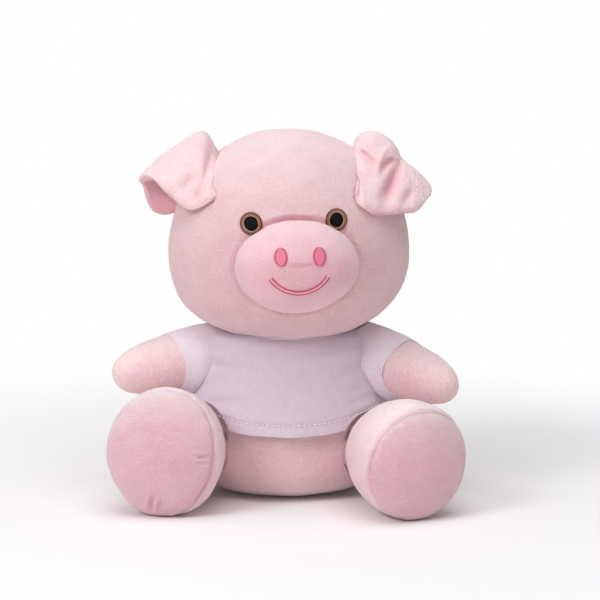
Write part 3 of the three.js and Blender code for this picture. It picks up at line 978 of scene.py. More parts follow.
# Lighter copies of the pink plush for the body, legs and ears paint on light that the lamps don't give
# them, and the legs' copy paints a stronger highlight where it faces up.
PAINTED_LIGHT_BODY_PLUSH = Plush("Body plush with painted light", "plush", (253, 222, 227), (230, 184, 190))
PAINTED_LIGHT_LEG_PLUSH = Plush("Leg plush with painted light", "plush", (255, 232, 236), (242, 192, 200), top_highlight=0.8)
PAINTED_LIGHT_EAR_PLUSH = Plush("Ear plush with painted light", "plush", (255, 232, 236), (242, 190, 198), top_highlight=0.32)
ARM_PLUSH = Plush(
    "Brushed pink plush", "plush", (255, 232, 232), (245, 194, 198),
    tuft_size=0.8, streaks=0.6, nap_stretch=0.5,
)
MUZZLE_PLUSH = Plush(
    "Muzzle plush", "muzzle_plush", (253, 211, 220), (237, 174, 187),
    crease=(214, 98, 126), tuft_size=0.9, top_highlight=0.25,
)
# the soles paint a stronger highlight where they are seen edge on and where they face up
SOLE_PLUSH = Plush(
    "Sole plush", "sole_plush", (255, 214, 224), (246, 176, 193),
    crease=(224, 140, 158), tuft_size=0.8, knit=0.35, edge_highlight=0.75, top_highlight=0.8,
)
EAR_LINING = Plush("Ear lining", "ear_lining", (255, 208, 216), (244, 174, 187), crease=(226, 118, 142))
JERSEY = Jersey("White jersey", "jersey", (239, 226, 237), (214, 197, 210))
# A lighter copy of the jersey for the sleeves paints on light that the head keeps from them.
PAINTED_LIGHT_SLEEVE_JERSEY = Jersey("Sleeve jersey", "jersey", (253, 244, 252), (234, 219, 230))
FIBRE = Filling("Stuffing fibre", "fibre", (248, 246, 242), (232, 228, 222))
PELLET_CLOTH = Filling("Pellet bag cloth", "pellet_cloth", (222, 219, 212), (204, 200, 192))
BROWN_THREAD = Thread("Brown satin thread", "brown_thread", (192, 132, 96), (92, 54, 38))
GOLD_THREAD = Thread("Light brown thread", "brown_thread", (226, 178, 140), (178, 124, 92))
DARK_THREAD = Thread("Dark brown thread", "brown_thread", (104, 64, 46), (62, 36, 26))
BLACK_THREAD = Thread(
    "Black satin thread", "black_thread", (12, 12, 16), (3, 3, 5), roughness=0.55, gloss=0.12
)
PINK_THREAD = Thread("Pink satin thread", "pink_thread", (250, 164, 190), (228, 106, 146))
PALE_THREAD = Thread("Pale pink thread", "pink_thread", (255, 196, 212), (240, 156, 180))
DEEP_THREAD = Thread("Deep pink thread", "pink_thread", (224, 98, 136), (200, 68, 108))
WHITE_THREAD = Thread("White sewing thread", "jersey", (255, 254, 255), (244, 240, 247))


@cache
def thread_tree() -> Tree:
    """Turns lines into round threads."""
    tree, desk, given, out = group_tree("Thread along a line", "GeometryNodeTree", [
        ("Lines", "Geometry", None),
        ("Thread radius", "Float", 0.00025),
        ("Thread sides", "Int", 5),
        ("Finish", "Material", None),
    ], [("Thread", "Geometry")])
    line = desk.result("GeometryNodeMeshToCurve", {"Mesh": given["Lines"]})
    round_form = {"Resolution": given["Thread sides"], "Radius": given["Thread radius"]}
    ring = desk.result("GeometryNodeCurvePrimitiveCircle", round_form)
    drawn = {"Curve": line, "Profile Curve": ring, "Fill Caps": True}
    tube = desk.result("GeometryNodeCurveToMesh", drawn)
    smooth = desk.result("GeometryNodeSetShadeSmooth", {"Geometry": tube})
    real = desk.result("GeometryNodeRealizeInstances", {"Geometry": smooth})
    dressed = desk.result("GeometryNodeSetMaterial", {"Geometry": real, "Material": given["Finish"]})
    tree.links.new(dressed, out["Thread"])
    return tree


@cache
def stitch_tree() -> Tree:
    """Sets short stitches along lines, one after the other."""
    tree, desk, given, out = group_tree("Stitches along a line", "GeometryNodeTree", [
        ("Lines", "Geometry", None),
        ("Pitch", "Float", 0.0024),
        ("Stitch length", "Float", 0.0016),
        ("Thread radius", "Float", 0.0003),
        ("Looseness", "Float", 0.15),
        ("Seed", "Int", 3),
        ("Finish", "Material", None),
    ], [("Stitches", "Geometry")])
    line = desk.result("GeometryNodeMeshToCurve", {"Mesh": given["Lines"]})
    cut = {"Curve": line, "Length": given["Pitch"]}
    spots = desk.add("GeometryNodeCurveToPoints", cut, mode="LENGTH").outputs
    any_way = {"Min": (-1.0, -1.0, -1.0), "Max": (1.0, 1.0, 1.0), "Seed": given["Seed"]}
    loose = desk.result("FunctionNodeRandomValue", any_way, data_type="FLOAT_VECTOR")
    little = {0: loose, "Scale": given["Looseness"]}
    astray = desk.result("ShaderNodeVectorMath", little, operation="SCALE")
    way = desk.result("ShaderNodeVectorMath", {0: spots["Tangent"], 1: astray})
    turn = desk.result("FunctionNodeAlignRotationToVector", {"Vector": way}, axis="Z")
    thick = given["Thread radius"]
    half = desk.times(given["Stitch length"], 0.5)
    size = desk.result("ShaderNodeCombineXYZ", {0: thick, 1: thick, 2: half})
    bead = desk.result("GeometryNodeMeshUVSphere", {"Segments": 6, "Rings": 5, "Radius": 1.0})
    row = {"Points": spots["Points"], "Instance": bead, "Rotation": turn, "Scale": size}
    set_out = desk.result("GeometryNodeInstanceOnPoints", row)
    real = desk.result("GeometryNodeRealizeInstances", {"Geometry": set_out})
    smooth = desk.result("GeometryNodeSetShadeSmooth", {"Geometry": real})
    dressed = desk.result("GeometryNodeSetMaterial", {"Geometry": smooth, "Material": given["Finish"]})
    tree.links.new(dressed, out["Stitches"])
    return tree


def sewn(name: str, lines: Sequence[Points], finish: Finish, **sizes: float) -> Piece:
    """Threads along lines, or short stitches where a pitch is given, as a plain mesh.

    Args:
        name: the piece's name.
        lines: open lines of points in millimetres. A closed one repeats its first point.
        finish: the thread's finish.
        sizes: the tree's named inputs, with underscores for spaces.

    Returns:
        The piece.
    """
    points, edges = [], []
    for line in lines:
        start = len(points)
        points.extend((np.asarray(line) * METRES).tolist())
        edges.extend((start + at, start + at + 1) for at in range(len(line) - 1))
    mesh = bpy.data.meshes.new(name)
    mesh.from_pydata(points, edges, [])
    made = put(name, mesh)
    tree = stitch_tree() if "pitch" in sizes else thread_tree()
    maker = made.modifiers.new("Sewing", "NODES")
    maker.node_group = tree
    values = {title.replace("_", " ").capitalize(): value for title, value in sizes.items()}
    values["Finish"] = finish.material()
    for item in tree.interface.items_tree:
        if getattr(item, "in_out", "") == "INPUT" and item.name in values:
            maker[item.identifier] = values[item.name]
    return plain(made)


# The frame that each piece is fitted to


def shown(
    piece: Piece, body: str, slot: str, *nodes: str, fill: float | None = None
) -> Piece:
    """Puts a piece on its body, in place of its CAD nodes, and reports it.

    Args:
        piece: the finished mesh.
        body: the CAD body that it rides on.
        slot: not used.
        nodes: the CAD nodes that it stands for.
        fill: not used.

    Returns:
        The piece.
    """
    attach(piece, body)
    if nodes:
        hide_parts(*nodes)
    log.info("%s on %s, %d faces", piece.name, body, len(piece.data.polygons))
    return piece


def bent(
    piece: Piece, slot: str, still: str, moving: str, start: Points, end: Points, *nodes: str
) -> Piece:
    """Bakes a piece's place into its mesh, hides its CAD nodes, and reports it with the two bodies that
    it lies between.

    Args:
        piece: the finished mesh.
        slot: not used.
        still: the body that its start stays on.
        moving: the body that its end goes with.
        start: not used.
        end: not used.
        nodes: the CAD nodes that it stands for.

    Returns:
        The piece.
    """
    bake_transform(piece)
    if nodes:
        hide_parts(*nodes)
    log.info("%s between %s and %s, %d faces", piece.name, still, moving, len(piece.data.polygons))
    return piece


FILLING_FACE = 0.0022  # metres
LUMP_HEIGHT, LUMP_SIZE = 0.25, 5.0


def filling(
    name: str, body: str, finish: Finish, node: str, fill: float, seed: int
) -> Piece:
    """A stuffed inner form, made from its CAD node's own form with loose lumps.

    Args:
        name: the piece's name.
        body: the CAD body that it rides on.
        finish: its finish.
        node: the CAD node that it stands for.
        fill: how full it is stuffed.
        seed: picks the lumps.

    Returns:
        The piece.
    """
    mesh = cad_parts[node].data.copy()
    mesh.name = name
    mesh.materials.clear()
    made = put(name, mesh)
    tool = bmesh.new()
    tool.from_mesh(mesh)
    bmesh.ops.remove_doubles(tool, verts=tool.verts, dist=1e-6)
    tool.to_mesh(mesh)
    tool.free()
    remesh = made.modifiers.new("Even faces", "REMESH")
    remesh.mode = "VOXEL"
    remesh.voxel_size = FILLING_FACE
    smooth = made.modifiers.new("Soft edges", "SMOOTH")
    smooth.iterations = 2
    plain(made)
    points = np.zeros(len(made.data.vertices) * 3)
    made.data.vertices.foreach_get("co", points)
    points = points.reshape(-1, 3) / METRES
    normals = np.array([vertex.normal for vertex in made.data.vertices])
    points += normals * (LUMP_HEIGHT * lumps(points, LUMP_SIZE, seed) - LUMP_HEIGHT)[:, None]
    made.data.vertices.foreach_set("co", (points * METRES).ravel())
    made.data.update()
    made.data.shade_smooth()
    made.data.materials.clear()
    made.data.materials.append(finish.material())
    return shown(made, body, finish.slot, node, fill=fill)


# Body and shirt


@dataclass
class Torso:
    """The stuffed body, with rooms for the limbs that turn in it."""

    egg: Egg = Egg(50, 40, 63.9, 24.5, 0.714, 0.625)
    widest_height: float = 24
    neck_height: float = NECK_HEIGHT
    neck_gap: float = 0.4
    rows: int = 130
    sides: int = 200

    def form(self, rows: int, sides: int) -> Shell:
        """The body's own form, in place."""
        return egg_shell(self.egg.grid(rows, sides) + UP * self.widest_height)

    def build(self, rooms: Sequence[Shell]) -> None:
        """Makes the body cover, its stuffing and the pellet bag.

        Args:
            rooms: the spaces that the limbs turn in.
        """
        shell = self.form(self.rows, self.sides).puff(0.5, 17, 3)
        shell.level(self.neck_height - self.neck_gap, above=True).flatten_seat()
        cover = carved(shell.piece("body_cover", PAINTED_LIGHT_BODY_PLUSH), rooms)
        shown(cover, "body", "plush", "body_skin", fill=0.85)
        filling("body_filling", "body", FIBRE, "body_stuffing", 0.8, 5)
        filling("pellet_bag", "body", PELLET_CLOTH, "seat_pellet_bag", 0.7, 6)


@dataclass
class Shirt:
    """The T-shirt's two panels and neckband, with the hem's stitches."""

    torso: Torso
    neck: Ceiling
    folds: Sequence[Crease]
    slack: float = 0.5
    wall: float = 1.2
    flare: float = 2.6
    hem_height: float = 36
    band_foot: float = 79.8
    band_top: float = 84.6
    band_inner: float = 33.6
    band_wall: float = 2.0
    side_seam: float = -6.0
    rows: int = 60
    columns: int = 150
    shoulder_width: float = 37.4
    hem_turns: tuple[float, ...] = (
        -180, -130, -100, -75, -60, -42, -25, 0, 25, 42, 60, 71, 85, 100, 130, 180,
    )
    hem_heights: tuple[float, ...] = (
        37, 40, 46, 46, 42, 37.4, 35.6, 34.8, 35.6, 37.4, 41, 43, 47, 46, 40, 37,
    )
    hem_depth: float = 5.6
    panel_top: float = 82.4
    yoke: Pair = (66, 77)
    closing: Pair = (78.8, 82.8)
    neck_depth_share: float = 0.8
    panel_weave: Pair = (150, 48)
    band_weave: Pair = (0.19, 0.011)

    def hem_at(self, turn: Points) -> Points:
        """The hem's height at an angle in degrees, 0 at the front and positive to the pig's left."""
        return np.interp(turn, self.hem_turns, self.hem_heights)

    def plan(self, height: Points) -> tuple[Points, Points, Points]:
        """The shirt's half width, half depth and squareness at heights over the floor.

        Args:
            height: the heights.

        Returns:
            The three values at each height.
        """
        egg = self.torso.egg
        share = egg.share_at(height - self.torso.widest_height)
        neck = self.torso.neck_height
        fall = np.clip((neck - height) / (neck - self.hem_height), 0, 1.1)
        spread = 1 + self.flare * fall ** 2 / egg.half_depth
        wide = (egg.half_width * share + self.slack) * spread
        deep = (egg.half_depth * share + self.slack) * spread
        yoke = eased(height, *self.yoke)
        square = 2 + 1.3 * yoke
        wider = np.maximum(wide, self.shoulder_width)
        wide = wide + (wider - wide) * yoke
        close = eased(height, *self.closing) ** 2
        wide = wide + (self.band_inner + 0.5 - wide) * close
        deep = deep + (self.band_inner * self.neck_depth_share + 0.4 - deep) * close
        return wide, deep, square - (square - 2) * close

    def holds(self, points: Points, stand: float) -> Points:
        """Whether points are inside the shirt, grown by a distance."""
        wide, deep, square = self.plan(points[:, 2])
        across = (np.abs(points[:, 0]) / (wide + stand)) ** square
        return across + (np.abs(points[:, 1]) / (deep + stand)) ** square < 1

    def over(self, turn: Points, height: Points, stand: float) -> Points:
        """Points on the shirt.

        Args:
            turn: angles round the body in degrees, 0 at the front.
            height: heights over the floor.
            stand: how far outside the shirt's inner face.

        Returns:
            An array of points.
        """
        wide, deep, square = self.plan(height)
        angle = np.radians(turn)
        across = (np.abs(np.sin(angle)) / (wide + stand)) ** square
        ahead = (np.abs(np.cos(angle)) / (deep + stand)) ** square
        reach = (across + ahead) ** (-1 / square)
        out = np.stack([np.sin(angle), -np.cos(angle), np.zeros_like(angle)], -1)
        place = out * reach[..., None]
        place[..., 2] = height
        flat = place.reshape(-1, 3)
        loose = np.clip((78 - flat[:, 2]) / 25, 0, 1)
        wide_ripple = 0.55 * lumps(flat * [1, 1, 0.4], 13, 21) * loose
        ripple = wide_ripple + 0.25 * lumps(flat * [1, 1, 0.5], 6, 22) * loose
        return (flat + out.reshape(-1, 3) * ripple[:, None]).reshape(place.shape)

    def panel(self, node: str, turns: Points, rooms: Sequence[Shell]) -> Piece:
        """One panel, from the neckband to the hem.

        Args:
            node: the CAD node that it stands for.
            turns: the angles of its columns, in degrees.
            rooms: the arms' spaces, cut out as armholes.

        Returns:
            The piece.
        """
        share = np.linspace(0, 1, self.rows)[:, None]
        hem = self.hem_at(turns)[None, :]
        sideways = np.abs(np.sin(np.radians(turns)))[None, :]
        top = self.panel_top + 0.5 * eased(sideways, 0.5, 0.95)
        height = top + (hem - top) * share
        turn = np.repeat(turns[None, :], self.rows, axis=0)
        edge = np.clip(1 - (1 - share) * self.rows / 2.5, 0, 1) * 0.35
        outer = self.over(turn, height, self.wall)
        inner = self.over(turn, height, 0.15)
        middle = (outer + inner) / 2
        outer = outer + (middle - outer) * edge[..., None]
        inner = inner + (middle - inner) * edge[..., None]
        shell = cloth_shell(outer, inner, False, self.panel_weave)
        hem_line = self.over(turns, self.hem_at(turns) + self.hem_depth, self.wall)
        # the hem line and the folds also paint the shade that falls in them
        shell.press([Crease(hem_line, 0.8, 0.4, 0.15, False, 0.9), *self.folds])
        made = carved(shell.piece(f"{node}_panel", JERSEY), rooms)
        return shown(made, "body", "jersey", node)

    def band(self) -> None:
        """Makes the neckband, a folded strip that stands round the neck."""
        turn = full_turn(160)
        around = full_turn(14)
        middle = (self.band_foot + self.band_top) / 2
        half_high, half_wall = (self.band_top - self.band_foot) / 2, self.band_wall / 2
        ring = []
        for angle in around:
            bulge = half_wall * np.sign(math.cos(angle)) * abs(math.cos(angle)) ** 0.7
            out = self.band_inner + half_wall + bulge
            high = middle + half_high * np.sign(math.sin(angle)) * abs(math.sin(angle)) ** 0.8
            lift = 0.35 * np.sin(turn * 3 + 0.6)
            ahead = -out * self.neck_depth_share * np.cos(turn)
            ring.append(np.stack([out * np.sin(turn), ahead, high + lift], -1))
        grid = np.array(ring)
        flat = grid.reshape(-1, 3)
        flat[:, 2] = np.minimum(flat[:, 2], self.neck(flat) - 0.15)
        rows, columns = grid.shape[:2]
        faces: list[tuple[int, ...]] = []
        uv: list[tuple[Pair, ...]] = []
        long, high = self.band_weave
        for row in range(rows):
            for column in range(columns):
                corners = [(row, column), (row, column + 1), (row + 1, column + 1), (row + 1, column)]
                faces.append(tuple(r % rows * columns + c % columns for r, c in corners))
                uv.append(tuple((c / columns * long, r / rows * high) for r, c in corners))
        band = Shell(flat, faces, uv).piece("neckband", JERSEY)
        made = shown(band, "body", "jersey", "shirt_neckband")

    def build(self, rooms: Sequence[Shell]) -> None:
        """Makes the panels, the neckband and the hem's stitches, which stop clear of the sides.

        Args:
            rooms: the spaces that the limbs turn in.
        """
        side = math.degrees(math.asin(-self.side_seam / 42))
        front = np.linspace(-(90 - side), 90 - side, self.columns)
        back = np.linspace(90 - side + 0.3, 270 + side - 0.3, self.columns)
        wrapped = np.where(back > 180, back - 360, back)
        made_front = self.panel("shirt_front", front, rooms)
        made_back = self.panel("shirt_back", wrapped, rooms)
        self.band()
        runs = (np.linspace(-70, 70, 141), np.linspace(110, 250, 141))
        turns = [np.where(run > 180, run - 360, run) for run in runs]
        lines = [self.over(turn, self.hem_at(turn) + self.hem_depth, self.wall + 0.1) for turn in turns]
        hem = sewn(
            "hem_stitches", lines, WHITE_THREAD,
            pitch=0.00255, stitch_length=0.0018, thread_radius=0.00036, looseness=0.12,
        )
        shown(hem, "body", "jersey")


# Limbs


@dataclass
class Arm:
    """An arm with its sleeve."""

    side: Side
    length: float
    forward_turn: float
    down_turn: float
    droop: float
    cuff: tuple[float, float, float, float]
    radius: float = 15
    root: float = 8
    tip_power: float = 0.8
    root_power: float = 1.3
    swing: Pair = (-4, 32)
    shoulder_place: Spot = (43.0, -6.0, 67.4)
    armhole_place: Spot = (41.0, -6.0, 67.4)
    sleeve_give: Spot = (7.2, 0.0, 1.2)
    sleeve_rows: int = 44
    sleeve_columns: int = 120
    sleeve_wall: float = 0.9
    sleeve_weave: Pair = (104, 24)
    cuff_rows: Pair = (2.2, 3.6)

    def __post_init__(self) -> None:
        """Places the shoulder and bends the arm's path."""
        forward, down = math.radians(self.forward_turn), math.radians(self.down_turn)
        self.shoulder = self.side.place(self.shoulder_place)
        ahead = -math.sin(forward) * math.cos(down)
        self.out = self.side.place((math.cos(forward) * math.cos(down), ahead, -math.sin(down)))
        end = self.shoulder + self.out * self.length
        elbow = self.shoulder + self.out * self.length / 2
        elbow[2] = (self.shoulder[2] + end[2]) / 2 + self.droop
        self.track = Track(self.shoulder, elbow, end)
        self.egg = self.grown_egg(0)

    def grown_egg(self, grown: float) -> Egg:
        """The arm's form before it is bent, grown by a distance."""
        radius, root = self.radius + grown, self.root + grown
        return Egg(radius, radius, self.track.length + grown, root, self.tip_power, self.root_power)

    def form(self, grown: float, rows: int, sides: int) -> Shell:
        """The arm's own form, grown by a distance."""
        return egg_shell(self.track.bent(self.grown_egg(grown).grid(rows, sides)))

    def rooms(self, grown: float) -> list[Shell]:
        """The space that the arm turns in, as its form in three places."""
        axis = np.array([0.0, -self.side.value, 0.0])
        angles = (self.swing[0], 14, self.swing[1])
        return [turned(self.form(grown, 30, 40), self.shoulder, axis, angle) for angle in angles]

    def build(self) -> None:
        """Makes the arm's cover and its stuffing."""
        name = self.side.word
        shell = self.form(0.0, 110, 120).puff(0.45, 11, 31 + self.side.value)
        cover = shell.piece(f"{name}_arm_cover", ARM_PLUSH)
        shown(cover, f"{name}_arm", "plush", f"{name}_arm_skin", fill=0.85)
        filling(f"{name}_arm_filling", f"{name}_arm", FIBRE, f"{name}_arm_stuffing", 0.8, 12)

    def sleeve(self, shirt: Shirt) -> None:
        """Makes the sleeve, which starts at the shirt's armhole, and the stitches round its cuff, which
        ride on the arm.

        Args:
            shirt: the shirt that it is sewn to.
        """
        name = self.side.word
        layers, along = self.sleeve_layers(shirt)
        shell = cloth_shell(layers[0], layers[1], True, self.sleeve_weave)
        share = np.linspace(0, 1, self.sleeve_rows)[:, None]
        # painted shade along the armhole seam, where the sleeve starts
        rim_shade = np.repeat(np.exp(-(share * 7) ** 2), self.sleeve_columns, axis=1).ravel()
        shell.seam = np.concatenate([rim_shade, rim_shade * 0]) * 0.6
        made = shell.piece(f"{name}_sleeve_cloth", PAINTED_LIGHT_SLEEVE_JERSEY)
        armhole = self.side.place(self.armhole_place)
        give = self.side.place(self.sleeve_give)
        bent(made, "jersey", "body", f"{name}_arm", armhole, armhole + give, f"{name}_sleeve")
        stitches = []
        for back in self.cuff_rows:
            at = int(round(np.clip(1 - back / 20, 0, 1) * (self.sleeve_rows - 1)))
            row = layers[0][at]
            line = row + unit(row - self.track.at(along[at])[0]) * 0.12
            stitches.append(np.vstack([line, line[:1]]))
        cuff = sewn(
            f"{name}_cuff_stitches", stitches, WHITE_THREAD,
            pitch=0.0023, stitch_length=0.0014, thread_radius=0.00026, looseness=0.15,
        )
        shown(cuff, f"{name}_arm", "jersey")

    def sleeve_layers(self, shirt: Shirt) -> tuple[list[Points], Points]:
        """The sleeve's two faces.

        Args:
            shirt: the shirt that it is sewn to.

        Returns:
            The outer and the inner face, and how far along the arm each of their points is.
        """
        rows = self.sleeve_rows
        turn = full_turn(self.sleeve_columns)
        front = math.pi if self.side is Side.RIGHT else 0.0
        top, ahead, bottom, behind = self.cuff
        forwardness = np.cos(turn - front)
        upright = np.where(np.sin(turn) > 0, top, bottom) * np.sin(turn) ** 2
        stop = upright + np.where(forwardness > 0, ahead, behind) * forwardness ** 2
        start = self.armhole(shirt, turn)
        share = np.linspace(0, 1, rows)[:, None]
        along = start + (stop - start) * share
        radius = self.egg.half_width * self.egg.share_at(np.clip(along, 0.01, None))
        swell = 1.3 * np.sin(math.pi * np.clip(share * 1.15, 0, 1)) ** 2
        fullness = 1.5 - 0.95 * share ** 3 + swell * (0.6 - 0.4 * np.sin(turn))
        gathers = 0.4 * np.sin(turn * 7 + 1.3) * np.exp(-share / 0.22)
        ripple = gathers + 0.3 * np.sin(turn * 5 + 4 * share) * (1 - share)
        hem = np.exp(-((1 - share) / 0.05) ** 2) * 0.12
        outer_radius = radius + fullness + ripple + hem
        layers = []
        for depth in (0.0, self.sleeve_wall):
            edge = 0.35 * depth * np.clip(1 - (1 - share) * rows / 2.5, 0, 1)
            out = outer_radius - depth + edge
            local = [out * np.cos(turn), out * np.sin(turn), np.broadcast_to(along, out.shape)]
            placed = self.track.bent(np.stack(local, -1))
            ceiling = shirt.neck(placed.reshape(-1, 3)).reshape(placed.shape[:2])
            placed[..., 2] = np.minimum(placed[..., 2], ceiling - 0.9 - depth)
            layers.append(placed)
        return layers, along

    def armhole(self, shirt: Shirt, turn: Points) -> Points:
        """How far along the arm each of the sleeve's threads meets the shirt.

        Args:
            shirt: the shirt.
            turn: the threads' angles.

        Returns:
            The distances.
        """
        found = np.full(len(turn), np.nan)
        radius = self.radius + 1.2
        for step in np.linspace(16, -14, 151):
            local = [radius * np.cos(turn), radius * np.sin(turn), np.full(len(turn), step)]
            placed = self.track.bent(np.stack(local, -1))
            within = shirt.holds(placed, shirt.wall)
            found = np.where(within & np.isnan(found), step - 3.2, found)
        found = np.nan_to_num(found, nan=-16.0)
        return np.convolve(np.concatenate([found[-4:], found, found[:4]]), np.ones(9) / 9, "valid")


def turned(shell: Shell, pivot: Points, axis: Points, degrees: float) -> Shell:
    """A surface turned about a line through the pivot.

    Args:
        shell: the surface.
        pivot: a point of the line.
        axis: the line's direction.
        degrees: how far it turns.

    Returns:
        A new surface.
    """
    angle = math.radians(degrees)
    away = shell.points - pivot
    across = np.cross(axis, away) * math.sin(angle)
    onward = axis * (away @ axis)[:, None] * (1 - math.cos(angle))
    shell.points = pivot + away * math.cos(angle) + across + onward
    return shell


@dataclass(frozen=True)
class FoldPart:
    """One part of the plush between the body and a leg, by its heights and how much it leans."""

    name: str
    foot: float
    head: float
    grown: float
    lean: float


FOLD_PARTS = (
    FoldPart("low", -5.0, 19.5, 0.5, 0.5),
    FoldPart("middle", 13.0, 35.5, 0.6, 0.0),
    FoldPart("top", 31.0, 70.0, 0.5, -0.55),
)


@dataclass
class Leg:
    """A leg with its domed sole."""

    side: Side
    half_width: float
    half_height: float
    reach: float
    spread_angle: float
    sole_turn: float
    seam_lead: Spot
    seam_limits: Pair
    puckers: Sequence[Crease] = ()
    sole_reach: float = 14
    sole_lead: float = 18
    back: float = 20
    swing: Pair = (-6, 12)
    hip_place: Spot = (52.0, -20.0, 21.5)
    seat_cut: float = 0.5
    fold_give: float = 1.9

    def __post_init__(self) -> None:
        """Places the hip and bends the leg's path."""
        self.hip = self.side.place(self.hip_place)
        foot = self.hip + self.heading(self.spread_angle) * self.reach
        foot[2] = self.half_height - self.seat_cut
        knee = foot - self.heading(self.sole_turn) * self.sole_lead
        self.track = Track(self.hip, knee, foot)

    def heading(self, degrees: float) -> Points:
        """A level direction at an angle outwards from straight ahead."""
        turn = math.radians(degrees)
        return np.array([self.side.value * math.sin(turn), -math.cos(turn), 0.0])

    def grid(self, grown: float, rows: int, sides: int) -> Points:
        """Rings of the leg's own form, grown by a distance, from its root to the sole's middle.

        Args:
            grown: the distance.
            rows: how many rings.
            sides: the points of a ring.

        Returns:
            The rings.
        """
        wide, high = self.half_width + grown, self.half_height + grown
        back = self.track.length + self.back + grown
        local = Egg(wide, high, self.sole_reach + grown, back, 0.9, 1.08).grid(rows, sides)
        local[..., 2] += self.track.length
        return local

    def form(self, grown: float, rows: int, sides: int) -> Shell:
        """The leg's own form, grown by a distance."""
        return egg_shell(self.track.bent(self.grid(grown, rows, sides)))

    def spread(self, form: Shell, angle: float) -> Shell:
        """A form that is turned outwards with the leg."""
        return turned(form, self.hip, np.array([0.0, 0.0, self.side.value]), angle)

    def rooms(self, grown: float) -> list[Shell]:
        """The space that the leg turns in, as its form in three places."""
        angles = (self.swing[0], 3, self.swing[1])
        return [self.spread(self.form(grown, 36, 48), angle) for angle in angles]

    def seam_at(self, around: Points) -> Points:
        """How far along the leg the sole's seam lies, at angles round the leg.

        Args:
            around: the angles.

        Returns:
            The distances.
        """
        inner = 0.0 if self.side is Side.LEFT else math.pi
        middle, inward, upward = self.seam_lead
        lead = middle + inward * np.cos(around - inner) + upward * np.sin(around)
        return self.track.length + np.clip(lead, *self.seam_limits)

    def fold(self, torso: Torso) -> None:
        """Makes the plush that joins the leg to the body.

        Args:
            torso: the body that the leg is sewn to.
        """
        name = self.side.word
        leg_form = self.form(0.12, 60, 90)
        for part in FOLD_PARTS:
            shell = self.spread(self.form(part.grown, 60, 90), self.swing[0])
            # painted shade: the whole hip fold takes part of the crease colour, for the shade between
            # leg and body
            shell.seam[:] = 0.35
            shape = shell.piece(f"{name}_hip_fold_{part.name}", PAINTED_LIGHT_BODY_PLUSH)
            made = carved(shape, [leg_form], within=[torso.form(90, 120), slab(part.foot, part.head)])
            way = unit(self.side.place((1.0, 0.0, part.lean)))
            nearest = min(np.array(vertex.co) @ way for vertex in made.data.vertices) / METRES
            start = way * (nearest + 0.2)
            bent(made, "plush", "body", f"{name}_leg", start, start + way * self.fold_give)

    def build(self) -> None:
        """Makes the leg's cover, its sole and its stuffing."""
        name = self.side.word
        seed = 41 + self.side.value
        local = self.grid(0.0, 150, 170)
        height = local[..., 2]
        around = np.arctan2(local[..., 1], local[..., 0])
        middle_ring = around[len(around) // 2][None, :]
        seam_at = self.seam_at(np.repeat(middle_ring, len(around), axis=0))
        past = np.clip((height - seam_at + 1.2) / 1.6, 0, 1)
        groove = 0.6 * np.exp(-(((height - seam_at) / 1.5) ** 2))
        waves = 0.14 * np.sin(around * 19 + 2.5 * np.sin(around * 3))
        pucker = waves * np.exp(-(((height - seam_at) / 4.0) ** 2))
        radius = np.maximum(np.hypot(local[..., 0], local[..., 1]), 1e-6)
        shrink = 1 - (past * 1.5 + groove - pucker) / radius
        local[..., :2] *= np.clip(shrink, 0, None)[..., None]
        local[..., 2] -= past * 2.2 * eased(height, seam_at, seam_at + 6)
        shell = egg_shell(self.track.bent(local))
        # painted shade along the sole's seam groove
        shade_marks = np.exp(-(((height - seam_at)[1:-1] / 1.3) ** 2)).ravel() * 0.25
        shell.seam = np.concatenate([[0], shade_marks, [0]])
        shell.puff(0.5, 15, seed).flatten_seat()
        cover = shell.piece(f"{name}_leg_cover", PAINTED_LIGHT_LEG_PLUSH)
        shown(cover, f"{name}_leg", "plush", f"{name}_leg_skin", fill=0.9)
        self.sole(seed + 2)
        filling(f"{name}_leg_filling", f"{name}_leg", FIBRE, f"{name}_leg_stuffing", 0.8, 14)

    def sole(self, seed: int) -> None:
        """Makes the domed sole, whose edge is turned into its seam.

        Args:
            seed: picks the unevenness.
        """
        name = self.side.word
        profile = self.grid(0.0, 500, 8)[:, 0]
        run = profile_run(profile[:, 0], profile[:, 2])
        rows, sides = 84, 190
        turn = full_turn(sides)
        seam_at = self.seam_at(turn)
        start = np.interp(seam_at + 0.25, profile[:, 2], run)
        along = start + (run[-1] - start) * np.linspace(0, 1, rows)[:, None]
        height = np.interp(along, run, profile[:, 2])
        share = np.interp(along, run, profile[:, 0]) / self.half_width
        across, up = self.half_width * share * np.cos(turn), self.half_height * share * np.sin(turn)
        local = np.stack([across, up, height], -1)
        radius = np.maximum(np.hypot(local[..., 0], local[..., 1]), 1e-6)
        fade = np.exp(-(((along - start) / 1.4) ** 2))
        waves = 0.14 * np.sin(turn * 21 + 3 * np.sin(turn * 2))
        pucker = waves * np.exp(-(((along - start) / 3.2) ** 2))
        outer = local.copy()
        outer[..., :2] *= np.clip(1 - (0.6 * fade - pucker) / radius, 0, None)[..., None]
        outer[-1, :, :2] = 0
        inner = local.copy()
        inner[..., :2] *= np.clip(1 - 1.6 / radius, 0, None)[..., None]
        inner[..., 2] -= 1.3 * np.clip((along - start) / 8, 0, 1)
        inner[-1, :, :2] = 0
        grid = np.concatenate([inner[::-1], outer])
        disc = (run[-1] - along)[..., None] * np.stack([np.sin(turn), np.cos(turn)], -1)
        disc = np.concatenate([disc[::-1], disc])
        shell = egg_shell(self.track.bent(grid))
